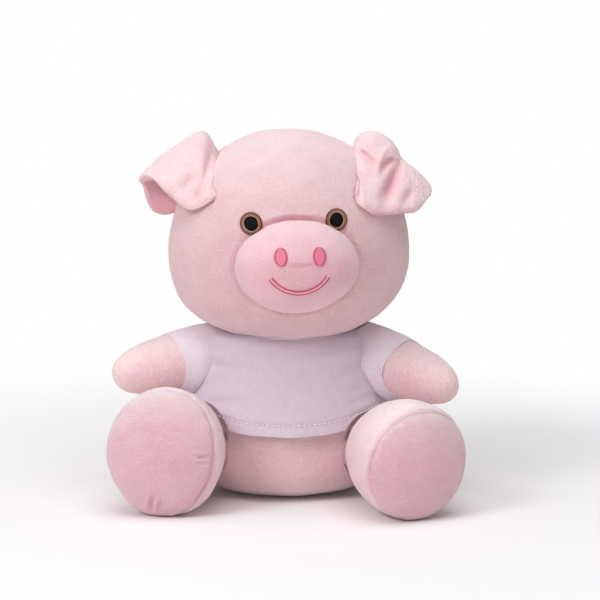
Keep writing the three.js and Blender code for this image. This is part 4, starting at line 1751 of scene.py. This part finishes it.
        # painted shade round the sole's seam edge
        rim_shade = np.exp(-(((along - start) / 1.1) ** 2))
        shell.seam = np.concatenate([[0], (rim_shade[1:] * 0).ravel(), rim_shade[:-1].ravel() * 0.2, [0]])
        shell.puff(0.45, 14, seed).press(self.puckers).flatten_seat()
        made = shell.piece(f"{name}_sole_cover", SOLE_PLUSH)
        layer = made.data.uv_layers.new(name="Cut")
        flat = np.vstack([disc[0, :1], disc[1:-1].reshape(-1, 2), disc[-1, :1]]) * METRES
        index = np.zeros(len(made.data.loops), dtype=int)
        made.data.loops.foreach_get("vertex_index", index)
        layer.data.foreach_set("uv", flat[index].ravel())
        shown(made, f"{name}_leg", "sole_plush", f"{name}_sole", fill=0.9)


# Head


@dataclass
class Head:
    """The stuffed head with its muzzle and embroidered face."""

    egg: Egg = Egg(59.6, 54, 60, 44, 1, 0.87)
    middle: Spot = (1.0, -5.0, 121.79)
    neck_height: float = NECK_HEIGHT
    face_turn: float = 4
    face_roll: float = 2.2
    muzzle: Egg = Egg(29.6, 22.5, 27, 7, 0.9, 1)
    muzzle_place: Spot = (0.6, -1.2, 46)
    eye_spacing: float = 40.4
    eye_rise: float = 19.8
    ring_radius: float = 5.0
    pupil_radius: float = 3.25
    nostril_spacing: float = 18.1
    nostril_middle: Pair = (0.85, 6.1)
    nostril_lean: float = 0.3
    nostril_half_width: float = 2.65
    nostril_half_height: float = 3.8
    smile_radius: float = 16
    smile_middle: Pair = (0.15, 5.2)
    smile_half_angle: float = 57
    smile_half_width: float = 0.85
    seam_ahead: float = -13.0
    seam_drop: float = 42

    def __post_init__(self) -> None:
        """Sets the face's own directions."""
        turn, roll = math.radians(self.face_turn), math.radians(self.face_roll)
        self.out = np.array([math.sin(turn), -math.cos(turn), 0.0])
        across = np.array([-self.out[1], self.out[0], 0.0])
        self.across = across * math.cos(roll) + np.cross(self.out, across) * math.sin(roll)
        self.up = np.cross(self.out, self.across)
        self.centre = np.array(self.middle)

    def on_face(self, across: float, up: float, out: float = 0.0) -> Points:
        """A point given by the face's own measures."""
        return self.centre + self.across * across + self.up * up + self.out * out

    def underside(self, points: Points) -> Points:
        """The height of the head's underside over or under points.

        Args:
            points: the points.

        Returns:
            The heights.
        """
        away = points - self.centre
        radius = np.hypot(away[:, 0] / self.egg.half_width, away[:, 1] / self.egg.half_depth)
        left = 1 - np.clip(radius, 0, 1) ** (2 / self.egg.drop_power)
        drop = self.egg.drop * left ** (self.egg.drop_power / 2)
        return np.maximum(np.where(radius < 1, self.middle[2] - drop, OPEN_SKY), self.neck_height + 0.2)

    def side_seam(self) -> Points:
        """The seam over the head from cheek to cheek, behind the eyes."""
        corners = []
        for angle in np.linspace(-2.6, 2.6, 30):
            reach = self.egg.rise if math.cos(angle) > 0 else self.seam_drop
            across = self.middle[0] + self.egg.half_width * math.sin(angle)
            corners.append((across, self.seam_ahead, self.middle[2] + reach * math.cos(angle)))
        return rounded_line(corners, 80)

    def muzzle_seam(self) -> Points:
        """The line where the muzzle meets the head, once round from the pig's left over the top."""
        found = []
        outwards = np.linspace(38, 66, 141)
        for angle in np.linspace(0, 2 * math.pi, 73):
            across = self.muzzle_place[0] + self.muzzle.half_width * math.cos(angle)
            up = self.muzzle_place[1] + self.muzzle.half_depth * math.sin(angle)
            points = np.array([self.on_face(across, up, out) for out in outwards])
            inside = self.egg.depth_inside(points - self.centre)
            found.append(points[np.argmin(np.abs(inside - 1))])
        return np.array(found)

    def build(self) -> None:
        """Makes the head's cover, the muzzle and the stuffing of both."""
        seam = self.muzzle_seam()
        top_of_seam = seam[12:26]
        shell = egg_shell(self.egg.grid(200, 270) + self.centre)
        # the creases also paint the shade that falls in them, strongest in the crease over the muzzle
        shell.puff(0.75, 21, 2).puff(0.25, 7, 9).press([
            Crease(self.side_seam(), 1.1, 0.7, 0.15, False, 0.35),
            Crease(seam, 1.3, 0.9, 0.2, False, 0.1),
            Crease(top_of_seam, 1.4, 0.9, 0.0, True, 0.75),
        ])
        shell.level(self.neck_height + 0.1, above=False)
        height = shell.points[:, 2]
        drop = np.clip((self.centre[2] - height) / 40, 0, 1)
        shell.points[:, 0] -= 1.6 * drop ** 1.5 * np.clip((height - 84) / 10, 0, 1)
        self.shell = shell
        shown(shell.piece("head_cover", PLUSH), "head", "plush", "head_skin", fill=0.95)
        dome = self.muzzle.grid(110, 170)
        place = self.on_face(*self.muzzle_place)
        level = place + dome[..., 0:1] * self.across + dome[..., 1:2] * self.up
        muzzle = egg_shell(level + dome[..., 2:3] * self.out)
        ends = [tuple(self.on_face(*at)) for at in ((-6, 2.3, 72), (1, 1.7, 73), (8, 2.3, 72))]
        # the muzzle's creases also paint the shade that falls in them
        muzzle.puff(0.4, 12, 4).press([
            Crease(seam, 1.1, 0.7, 0.2, False, 0.1),
            fold(*MUZZLE_FOLD, width=0.9, depth=0.5, roll=0.1, shade_mark=0.3, from_front=False),
            fold(*ends, width=1.0, depth=0.3, roll=0.1, shade_mark=0.2, from_front=False),
        ])
        self.muzzle_shell = muzzle
        cover = muzzle.piece("muzzle_cover", MUZZLE_PLUSH)
        shown(cover, "head", "muzzle_plush", "muzzle_skin", fill=0.95)
        filling("head_filling", "head", FIBRE, "head_stuffing", 0.85, 15)
        filling("muzzle_filling", "head", FIBRE, "muzzle_stuffing", 0.85, 16)

    def laid(self, tree: BVHTree, plan: Points, lift: Points | float) -> Points:
        """Lays a flat plan on the face.

        Args:
            tree: the surface that it lies on.
            plan: points by the face's own measures across and up, (n, 2).
            lift: how far each point stands off the surface.

        Returns:
            Points in space.
        """
        lifts = np.broadcast_to(lift, len(plan))
        found = []
        for (across, up), stand in zip(plan, lifts):
            start = self.on_face(across, up, 120)
            hit, normal, _, _ = tree.ray_cast(Vector(start), Vector(-self.out))
            if hit is None:
                raise ValueError(f"the face has no surface at {across:.1f}, {up:.1f}")
            found.append(np.array(hit) + np.array(normal) * stand)
        return np.array(found)

    def embroider(self) -> None:
        """Makes the eyes, the nostrils and the smile, thread by thread."""
        head_tree, muzzle_tree = self.shell.tree(), self.muzzle_shell.tree()
        for side in Side:
            self.eye(side, head_tree)
            self.nostril(side, muzzle_tree)
        self.smile(muzzle_tree)

    def sew(
        self, name: str, lines: Sequence[Points], finish: Finish, *nodes: str, **sizes: float
    ) -> None:
        """Sews one piece of the face."""
        shown(sewn(name, lines, finish, **sizes), "head", finish.slot, *nodes)

    def eye(self, side: Side, head_tree: BVHTree) -> None:
        """Makes one eye: a satin ring with a dark edge, a thin lighter ring and a black pupil.

        Args:
            side: the pig's side that it is on.
            head_tree: the head's surface.
        """
        name = side.word
        middle = np.array([side.value * self.eye_spacing / 2, self.eye_rise])
        span = np.linspace(self.pupil_radius + 0.25, self.ring_radius - 0.15, 5)[:, None]
        crown = 0.25 + 0.32 * np.sin(np.linspace(0.3, 2.84, 5))
        spokes = []
        for angle in full_turn(58):
            way = np.array([math.cos(angle), math.sin(angle)])
            spokes.append(self.laid(head_tree, middle + way * span, crown))
        self.sew(
            f"{name}_eye_satin", spokes, BROWN_THREAD, f"{name}_eye_ring",
            thread_radius=0.00029, thread_sides=5,
        )
        turn = np.linspace(0, 2 * math.pi, 49)
        circle = np.stack([np.cos(turn), np.sin(turn)], 1)
        edge = self.laid(head_tree, middle + circle * (self.ring_radius - 0.1), 0.35)
        self.sew(
            f"{name}_eye_edge", [edge], DARK_THREAD,
            pitch=0.00085, stitch_length=0.00115, thread_radius=0.00048, looseness=0.5,
        )
        near = self.laid(head_tree, middle + circle * (self.pupil_radius + 0.35), 0.5)
        self.sew(
            f"{name}_eye_inner_ring", [near], GOLD_THREAD, thread_radius=0.00024, thread_sides=6
        )
        rows = []
        for level in np.arange(-self.pupil_radius + 0.15, self.pupil_radius, 0.3):
            half = math.sqrt(max(self.pupil_radius ** 2 - level ** 2, 0.05))
            span = np.linspace(-half, half, 7)
            plan = np.stack([middle[0] + span, np.full(7, middle[1] + level)], 1)
            crown = 0.3 + 0.35 * np.sqrt(np.clip(1 - (span ** 2 + level ** 2) / 10.2, 0, 1))
            rows.append(self.laid(head_tree, plan, crown))
        self.sew(
            f"{name}_pupil_satin", rows, BLACK_THREAD, f"{name}_pupil",
            thread_radius=0.00024, thread_sides=5,
        )

    def nostril(self, side: Side, muzzle_tree: BVHTree) -> None:
        """Makes one nostril: level satin stitches inside a deeper edge.

        Args:
            side: the pig's side that it is on.
            muzzle_tree: the muzzle's surface.
        """
        name = side.word
        off = np.array([self.nostril_spacing / 2 - 0.1, -self.nostril_lean])
        middle = np.array(self.nostril_middle) + off * side.value
        half_width, half_height = self.nostril_half_width, self.nostril_half_height
        rows = []
        for level in np.arange(-half_height + 0.3, half_height, 0.58):
            half = half_width * math.sqrt(max(1 - (level / half_height) ** 2, 0.02))
            span = np.linspace(-half, half, 8)
            plan = np.stack([middle[0] + span, np.full(8, middle[1] + level)], 1)
            crown = 0.25 + 0.45 * np.sqrt(np.clip(1 - (span / half) ** 2, 0, 1))
            rows.append(self.laid(muzzle_tree, plan, crown))
        self.sew(
            f"{name}_nostril_satin", rows, PINK_THREAD, f"{name}_nostril",
            thread_radius=0.00036, thread_sides=5,
        )
        turn = np.linspace(0, 2 * math.pi, 41)
        plan = middle + np.stack([np.cos(turn) * half_width, np.sin(turn) * half_height], 1)
        self.sew(
            f"{name}_nostril_edge", [self.laid(muzzle_tree, plan, 0.45)], DEEP_THREAD,
            pitch=0.0009, stitch_length=0.0012, thread_radius=0.0005, looseness=0.5,
        )

    def smile(self, muzzle_tree: BVHTree) -> None:
        """Makes the smile: a lighter cord of short stitches between two deep pink lines.

        Args:
            muzzle_tree: the muzzle's surface.
        """
        middle = np.array(self.smile_middle)
        half_angle = self.smile_half_angle
        angle = np.radians(np.linspace(-90 - half_angle, -90 + half_angle, 60))
        way = np.stack([np.cos(angle), np.sin(angle)], 1)
        radii = (self.smile_radius - self.smile_half_width, self.smile_radius + self.smile_half_width)
        lines = [self.laid(muzzle_tree, middle + way * radius, 0.3) for radius in radii]
        self.sew("smile_lines", lines, DEEP_THREAD, "smile", thread_radius=0.0003, thread_sides=6)
        centre = self.laid(muzzle_tree, middle + way * self.smile_radius, 0.4)
        self.sew(
            "smile_stitches", [centre], PALE_THREAD,
            pitch=0.0009, stitch_length=0.0013, thread_radius=0.00055, looseness=0.45,
        )


# Ears and tail


@dataclass
class Ear:
    """An ear of two sewn panels, folded over a ridge."""

    side: Side
    head: Head
    back: Sequence[Sequence[float]]
    ridge: Sequence[Sequence[float]]
    front: Sequence[Sequence[float]]
    folds: Sequence[Crease]
    rounding: float = 0.3
    reach: float = 36
    height: float = 38
    depth: float = 34
    wall: float = 2.0
    rows: int = 110
    columns: int = 130
    root_off_head: Spot = (38.5, -18.5, 38.6)
    give_start: Spot = (36.0, -24.0, 158.0)
    give: Spot = (13.0, 0.0, 0.0)
    weave: Pair = (52, 36)

    def surface(self) -> tuple[Points, Points, Points]:
        """The ear's middle surface, in rows from tip to root and columns from back to front.

        Returns:
            The points, their smooth outward directions, and how strongly the folds' painted shade lies
            on each one.
        """
        sign, rows, columns = self.side.value, self.rows, self.columns
        root = self.head.centre + self.side.place(self.root_off_head)
        scale = self.side.place((self.reach, -self.depth, self.height))
        back, ridge, front = (
            evened(rounded_line(np.asarray(line) * scale + root, 300), rows)
            for line in (self.back, self.ridge, self.front)
        )
        crown = 2 * ridge - 0.5 * back - 0.5 * front
        u = np.linspace(0, 1, rows)[:, None]
        width = 0.3 + 0.7 * np.sqrt(1 - (1 - np.clip(u / self.rounding, 0, 1)) ** 2)
        v = (0.5 + (np.linspace(0, 1, columns)[None, :] - 0.5) * width)[..., None]
        behind = back[:, None] * (1 - v) ** 2
        place = behind + crown[:, None] * 2 * v * (1 - v) + front[:, None] * v ** 2
        normal = -sheet_normals(place) * sign
        pressed, shade_mark = np.zeros(rows * columns), np.zeros(rows * columns)
        for crease in self.folds:
            depth, deep = crease.over(place.reshape(-1, 3))
            pressed += depth
            shade_mark = np.maximum(shade_mark, deep)
        ahead = eased(v[..., 0], 0.42, 0.6)
        place[..., 1] += pressed.reshape(rows, columns) * ahead
        away = (place - self.head.centre).reshape(-1, 3)
        sewn_in = 0.982 / self.head.egg.depth_inside(away).reshape(rows, columns)
        reach = eased(u, 0.84, 0.97) * (1 - 0.45 * eased(v[..., 0], 0.9, 1.0))
        place = self.head.centre + (place - self.head.centre) * (1 + (sewn_in - 1) * reach)[..., None]
        return place, normal, shade_mark.reshape(rows, columns) * ahead

    def build(self) -> None:
        """Makes the outer panel and the lining."""
        name, sign, rows, columns = self.side.word, self.side.value, self.rows, self.columns
        middle, normal, deep = self.surface()
        wide, long = self.weave
        u_run = np.linspace(0, 1, rows)[:, None] * long
        v_run = np.linspace(0, 1, columns)[None, :] * wide
        to_edge = np.minimum(u_run, np.minimum(v_run, wide - v_run))
        fall = np.sqrt(np.clip(1 - (1 - np.clip(to_edge / 2.8, 0, 1)) ** 2, 0, 1))
        # painted shade where the ear meets the head, along the panel's rolled edges and in its folds
        root_rows = np.exp(-(((1 - np.linspace(0, 1, rows)) / 0.11) ** 2))[:, None]
        root_shade = root_rows * np.ones((1, columns)) * 0.4
        edge_shade = np.exp(-((to_edge / 0.9) ** 2)) * 0.2
        shade_mark = np.maximum(np.maximum(root_shade, edge_shade), deep).ravel()
        start = self.side.place(self.give_start)
        end = start + self.side.place(self.give)
        for node, low, high, finish in (
            ("ear_outer", 0.0, self.wall, PAINTED_LIGHT_EAR_PLUSH),
            ("ear_lining", -0.3, -0.3 - self.wall, EAR_LINING),
        ):
            near = middle + normal * (low * fall)[..., None]
            away = middle + normal * (low + (high - low) * fall + 0.02 * np.sign(high))[..., None]
            shell = cloth_shell(away, near, False, self.weave)
            shell.seam = np.concatenate([shade_mark, shade_mark])
            shell.puff(0.35, 8, 51 + sign)
            self.clear_of_head(shell)
            made = shell.piece(f"{name}_{node}_panel", finish)
            bent(made, finish.slot, "head", f"{name}_ear", start, end, f"{name}_{node}")

    def clear_of_head(self, shell: Shell) -> None:
        """Rests what would be inside the head on the head's own surface.

        Args:
            shell: what is moved.
        """
        away = shell.points - self.head.centre
        inside = self.head.egg.depth_inside(away)
        size = np.linalg.norm(away, axis=1)
        least = 1 - 0.1 / size
        push = np.where(inside < least, least / np.maximum(inside, 0.2), 1.0)
        shell.points = self.head.centre + away * push[:, None]


@dataclass
class Tail:
    """A thin curled tail."""

    root: Spot = (0.0, 39.98, 26.0)
    curl_radius: float = 5.6
    pitch: float = 13
    turns: float = 1.2
    radius: float = 2.6
    opening: float = 0.3
    root_gap: float = 0.35
    give: Pair = (0.5, 4.0)
    rows: int = 120
    sides: int = 28

    def build(self) -> None:
        """Makes the tail as one stuffed tube with round ends."""
        share = np.linspace(0, 1, 400)
        angle = share * self.turns * 2 * math.pi
        radius = self.curl_radius * eased(share, 0, self.opening)
        back = share * self.turns * self.pitch
        curl = np.stack([radius * np.sin(angle), back, radius * (1 - np.cos(angle))], -1)
        run = run_along(curl)
        total = run[-1]
        distance = np.linspace(0, total, self.rows + 1)
        point = spots_along(curl, run, distance)
        way = unit(np.gradient(point, axis=0))
        side = unit(np.cross(way, np.array([0.0, 1.0, 1.0])))
        up = np.cross(side, way)
        egg = Egg(self.radius, self.radius, total / 2, total / 2, 0.35, 0.35)
        thick = self.radius * egg.share_at(np.abs(distance - total / 2))
        turn = full_turn(self.sides)[None, :, None]
        around = side[:, None] * np.cos(turn) + up[:, None] * np.sin(turn)
        grid = point[:, None] + thick[:, None, None] * around
        grid[0], grid[-1] = point[0], point[-1]
        root = np.array(self.root)
        shell = egg_shell(grid + root)
        shell.points[:, 1] = np.maximum(shell.points[:, 1], root[1] + self.root_gap)
        shell.puff(0.12, 3, 61)
        start, end = (root + [0, gap, 0] for gap in self.give)
        made = bent(shell.piece("tail_curl", PLUSH), "plush", "body", "tail", start, end, "tail")


# Studio


WHITE = (1.0, 1.0, 1.0, 1.0)


@dataclass
class Studio:
    """Floor, soft lights and camera. Its sizes are in metres, apart from the lens in millimetres."""

    distance: float = 1.2
    elevation: float = 9.0
    target: Spot = (0.0065, 0.0, 0.09568)
    lens: float = 144.0
    key_power: float = 10.2
    fill_power: float = 0.9
    top_power: float = 11.9
    room_light: float = 0.345
    floor_colour: tuple[float, float, float, float] = (0.92, 0.91, 0.913, 1.0)
    fade_start: float = 0.13
    fade_stop: float = 0.36

    def build(self) -> None:
        """Sets up the floor, the lights, the camera and the view."""
        scene = bpy.context.scene
        scene.view_settings.view_transform = "Standard"
        self.floor()
        self.world(scene)
        self.lamp("key_light", (-1.0, -0.95, 1.02), 0.7, self.key_power)
        self.lamp("fill_light", (1.2, -1.1, 0.55), 1.2, self.fill_power)
        self.lamp("top_light", (0.05, -0.35, 1.45), 1.4, self.top_power)
        camera = bpy.data.cameras.new("photo_camera")
        camera.lens = self.lens
        camera.sensor_width = 36
        holder = put("photo_camera", camera)
        rise = math.radians(self.elevation)
        back = Vector((0, -math.cos(rise), math.sin(rise)))
        holder.location = Vector(self.target) + back * self.distance
        holder.rotation_euler = (-back).to_track_quat("-Z", "Y").to_euler()
        camera.clip_start = 0.05
        scene.camera = holder

    def lamp(self, name: str, place: Spot, size: float, power: float) -> None:
        """One large soft lamp that points at the object.

        Args:
            name: its name.
            place: where it stands.
            size: its width.
            power: its power.
        """
        light = bpy.data.lights.new(name, "AREA")
        light.shape = "DISK"
        light.size = size
        light.energy = power
        holder = put(name, light)
        holder.location = place
        way = Vector((0, 0, 0.09)) - Vector(place)
        holder.rotation_euler = way.to_track_quat("-Z", "Y").to_euler()

    def floor(self) -> None:
        """A pale floor that keeps the object's shadow."""
        mesh = bpy.data.meshes.new("studio_floor")
        mesh.from_pydata([(-4, -3, 0), (4, -3, 0), (4, 8, 0), (-4, 8, 0)], [], [(0, 1, 2, 3)])
        made = put("studio_floor", mesh)
        material = bpy.data.materials.new("Studio floor")
        material.use_nodes = True
        material.node_tree.nodes.clear()
        desk = Desk(material.node_tree)
        matt = desk.result("ShaderNodeBsdfDiffuse", {"Color": self.floor_colour})
        seen = desk.add("ShaderNodeLightPath").outputs["Is Camera Ray"]
        strength = desk.times(seen, 0.01)
        glow = desk.result("ShaderNodeEmission", {"Color": WHITE, "Strength": strength})
        both = desk.result("ShaderNodeAddShader", {0: matt, 1: glow})
        place = desk.add("ShaderNodeTexCoord").outputs["Object"]
        away = desk.add("ShaderNodeVectorMath", {0: place}, operation="LENGTH").outputs["Value"]
        span = {"Value": away, "From Min": self.fade_start, "From Max": self.fade_stop}
        fade = desk.result("ShaderNodeMapRange", span, interpolation_type="SMOOTHSTEP")
        white = desk.result("ShaderNodeEmission", {"Color": WHITE, "Strength": 1.0})
        faded = desk.result("ShaderNodeMixShader", {0: desk.times(fade, seen), 1: both, 2: white})
        desk.add("ShaderNodeOutputMaterial", {"Surface": faded})
        mesh.materials.append(material)

    def world(self, scene: bpy.types.Scene) -> None:
        """White surroundings for the camera, and a softer even light for the object.

        Args:
            scene: the scene.
        """
        world = bpy.data.worlds.new("Studio room")
        scene.world = world
        world.use_nodes = True
        world.node_tree.nodes.clear()
        desk = Desk(world.node_tree)
        seen = desk.add("ShaderNodeLightPath").outputs["Is Camera Ray"]
        strength = desk.calc(desk.times(seen, 1 - self.room_light), self.room_light)
        light = desk.result("ShaderNodeBackground", {"Color": WHITE, "Strength": strength})
        desk.add("ShaderNodeOutputWorld", {"Surface": light})


# The folds and edges that the photograph shows

# Each fold's shade mark says how strongly the shade that falls in it is painted on.
MUZZLE_FOLD = ((-24, -54, 122.1), (-21.5, -61, 122.3), (-19.4, -67, 122.5))
SHIRT_FOLDS = (
    fold(
        (30.5, -33, 50), (37.4, -28, 50.9), (44, -22, 51.8),
        width=1.5, depth=0.75, roll=0.5, shade_mark=0.25,
    ),
    fold((27, -34, 56), (32, -32, 54.6), (37, -28, 53.5), width=1.6, depth=0.6, shade_mark=0.15),
    fold((-41, -22, 56), (-34, -30, 58.5), (-26, -34, 62.5), width=2.0, depth=0.6, shade_mark=0.12),
    fold((-37, -24, 50), (-28, -34, 50), (-19, -38, 51.5), width=2.2, depth=0.5, shade_mark=0.1),
    fold((40, -20, 68), (33, -28, 64), (24, -33, 62.5), width=2.2, depth=0.55, shade_mark=0.1),
    fold(
        (-20, -30, 76.5), (-6, -34, 74.5), (10, -34, 75.4), (22, -29, 77.5),
        width=2.4, depth=0.5, shade_mark=0.1,
    ),
)
RIGHT_SOLE_PUCKERS = (
    fold((-43.5, -70, 31.8), (-40, -70, 31), (-36.5, -70, 31.6), width=0.9, depth=0.7, shade_mark=0.35),
    fold((-43, -70, 28.6), (-39.6, -70, 28.2), (-36.8, -70, 29), width=0.8, depth=0.5, shade_mark=0.3),
    fold((-65, -70, 3), (-64.4, -70, 8), (-62.8, -70, 12.5), width=1.1, depth=1.0, roll=0.5, shade_mark=0.4),
    fold(
        (-61.5, -70, 3), (-60.6, -70, 7.5), (-59.5, -70, 10.5),
        width=0.9, depth=0.6, roll=0.3, shade_mark=0.3,
    ),
)
RIGHT_EAR_FOLDS = (
    fold((-39, -25, 175), (-38.8, -30, 166), (-39.2, -33, 157), width=1.3, depth=1.7, shade_mark=0.6),
    fold((-50.8, -30, 152.6), (-47.6, -30, 156.4), (-43.6, -30, 160.4), width=2.2, depth=1.5, shade_mark=0.25),
    fold(
        (-44.5, -30, 149.6), (-41, -30, 153), (-39.2, -30, 157),
        width=2.2, depth=1.0, roll=0.2, shade_mark=0.35,
    ),
)
LEFT_EAR_FOLDS = (
    fold(
        (53.4, -24, 167.5), (52.6, -26, 163), (50.6, -30, 157.5), (48.2, -33, 152.5), (47.2, -36, 147.5),
        width=2.6, depth=4.4, roll=0.5, shade_mark=1.0,
    ),
    fold(
        (44.6, -28, 160), (46.6, -28, 163), (49.4, -28, 165.6), (52, -28, 167),
        width=2.0, depth=3.4, roll=0.2, shade_mark=0.7,
    ),
    fold(
        (43.4, -28, 158.6), (44.4, -28, 164), (46.2, -28, 169.6), (49.4, -28, 172.6), (52.6, -28, 171.6),
        width=1.2, depth=-1.3, roll=0.0, shade_mark=0.0,
    ),
    fold(
        (35.4, -20, 170), (37.8, -20, 169.4), (40.2, -20, 166.8), (43, -20, 163.2),
        width=1.5, depth=2.4, shade_mark=0.6,
    ),
    fold(
        (39.6, -20, 176.8), (40.2, -20, 173.4), (41.6, -20, 170.6),
        width=1.1, depth=0.9, roll=0.2, shade_mark=0.3,
    ),
    fold((60.8, -28, 153), (57.6, -28, 149.8), (55.8, -28, 146.4), width=1.8, depth=1.6, shade_mark=0.35),
)

# Each ear's lines run from its tip to its root, in shares of its reach, depth and height.
RIGHT_EAR_LINES = {
    "back": (
        (0.97, -0.4, -0.17), (0.93, -0.5, -0.31), (0.87, -0.56, -0.45), (0.715, -0.6, -0.55),
        (0.477, -0.6, -0.52), (0.2, -0.6, -0.3), (0.0, -0.6, 0.1),
    ),
    "ridge": (
        (0.95, -0.3, -0.08), (0.72, -0.36, 0.135), (0.49, -0.42, 0.28), (0.25, -0.46, 0.43),
        (0.09, -0.47, 0.485), (-0.03, -0.54, 0.3), (-0.07, -0.5, 0.16),
    ),
    "front": (
        (0.86, -0.15, -0.06), (0.625, 0.1, -0.17), (0.47, 0.22, -0.28), (0.37, 0.32, -0.36),
        (0.234, 0.4, -0.4), (0.1, 0.46, -0.36), (-0.03, 0.54, -0.25), (-0.08, 0.48, -0.12),
    ),
}
LEFT_EAR_LINES = {
    "back": (
        (0.85, -0.35, -0.3), (0.75, -0.55, -0.4), (0.5, -0.65, -0.45), (0.25, -0.6, -0.3),
        (0.0, -0.55, 0.1),
    ),
    "ridge": (
        (0.86, -0.2, -0.25), (0.79, -0.25, -0.14), (0.65, -0.28, 0.0), (0.43, -0.35, 0.16),
        (0.36, -0.4, 0.29), (0.26, -0.44, 0.41), (0.07, -0.47, 0.49), (-0.09, -0.5, 0.44),
        (-0.13, -0.52, 0.33), (-0.15, -0.48, 0.19),
    ),
    "front": (
        (0.84, -0.05, -0.33), (0.8, 0.0, -0.41), (0.7, 0.15, -0.44), (0.475, 0.32, -0.44),
        (0.23, 0.45, -0.445), (0.05, 0.58, -0.42), (-0.11, 0.64, -0.31), (-0.17, 0.6, -0.17),
    ),
}


def main() -> None:
    """Builds the pig, piece by piece, and its studio."""
    logging.basicConfig(level=logging.INFO, format="%(name)s: %(message)s")
    torso, head = Torso(), Head()
    shirt = Shirt(torso, head.underside, SHIRT_FOLDS)
    arms = [
        Arm(Side.RIGHT, 46, 22, 8, 1.0, cuff=(15.6, 13.2, 18.0, 22.0)),
        Arm(Side.LEFT, 48.5, 32, 15, 1.5, cuff=(17.0, 14.4, 25.0, 24.0)),
    ]
    legs = [
        Leg(Side.RIGHT, 28, 31, 39, 9.5, 7, (-3.0, 10.0, -3.5), (-2.5, 7.0), RIGHT_SOLE_PUCKERS),
        Leg(Side.LEFT, 27.6, 28.6, 46, 11.5, 30, (2.0, 0.5, 5.0), (1.0, 8.0)),
    ]
    leg_rooms = [room for leg in legs for room in leg.rooms(0.7)]
    arm_rooms = [room for arm in arms for room in arm.rooms(1.2)]
    torso.build(leg_rooms + arm_rooms)
    head.build()
    head.embroider()
    shirt.build(arm_rooms + [leg.rooms(0.9)[0] for leg in legs])
    for arm in arms:
        arm.build()
        arm.sleeve(shirt)
    for leg in legs:
        leg.build()
        leg.fold(torso)
    Ear(Side.RIGHT, head, **RIGHT_EAR_LINES, folds=RIGHT_EAR_FOLDS).build()
    Ear(Side.LEFT, head, **LEFT_EAR_LINES, folds=LEFT_EAR_FOLDS).build()
    Tail().build()
    Studio().build()


if __name__ == "__main__":
    main()
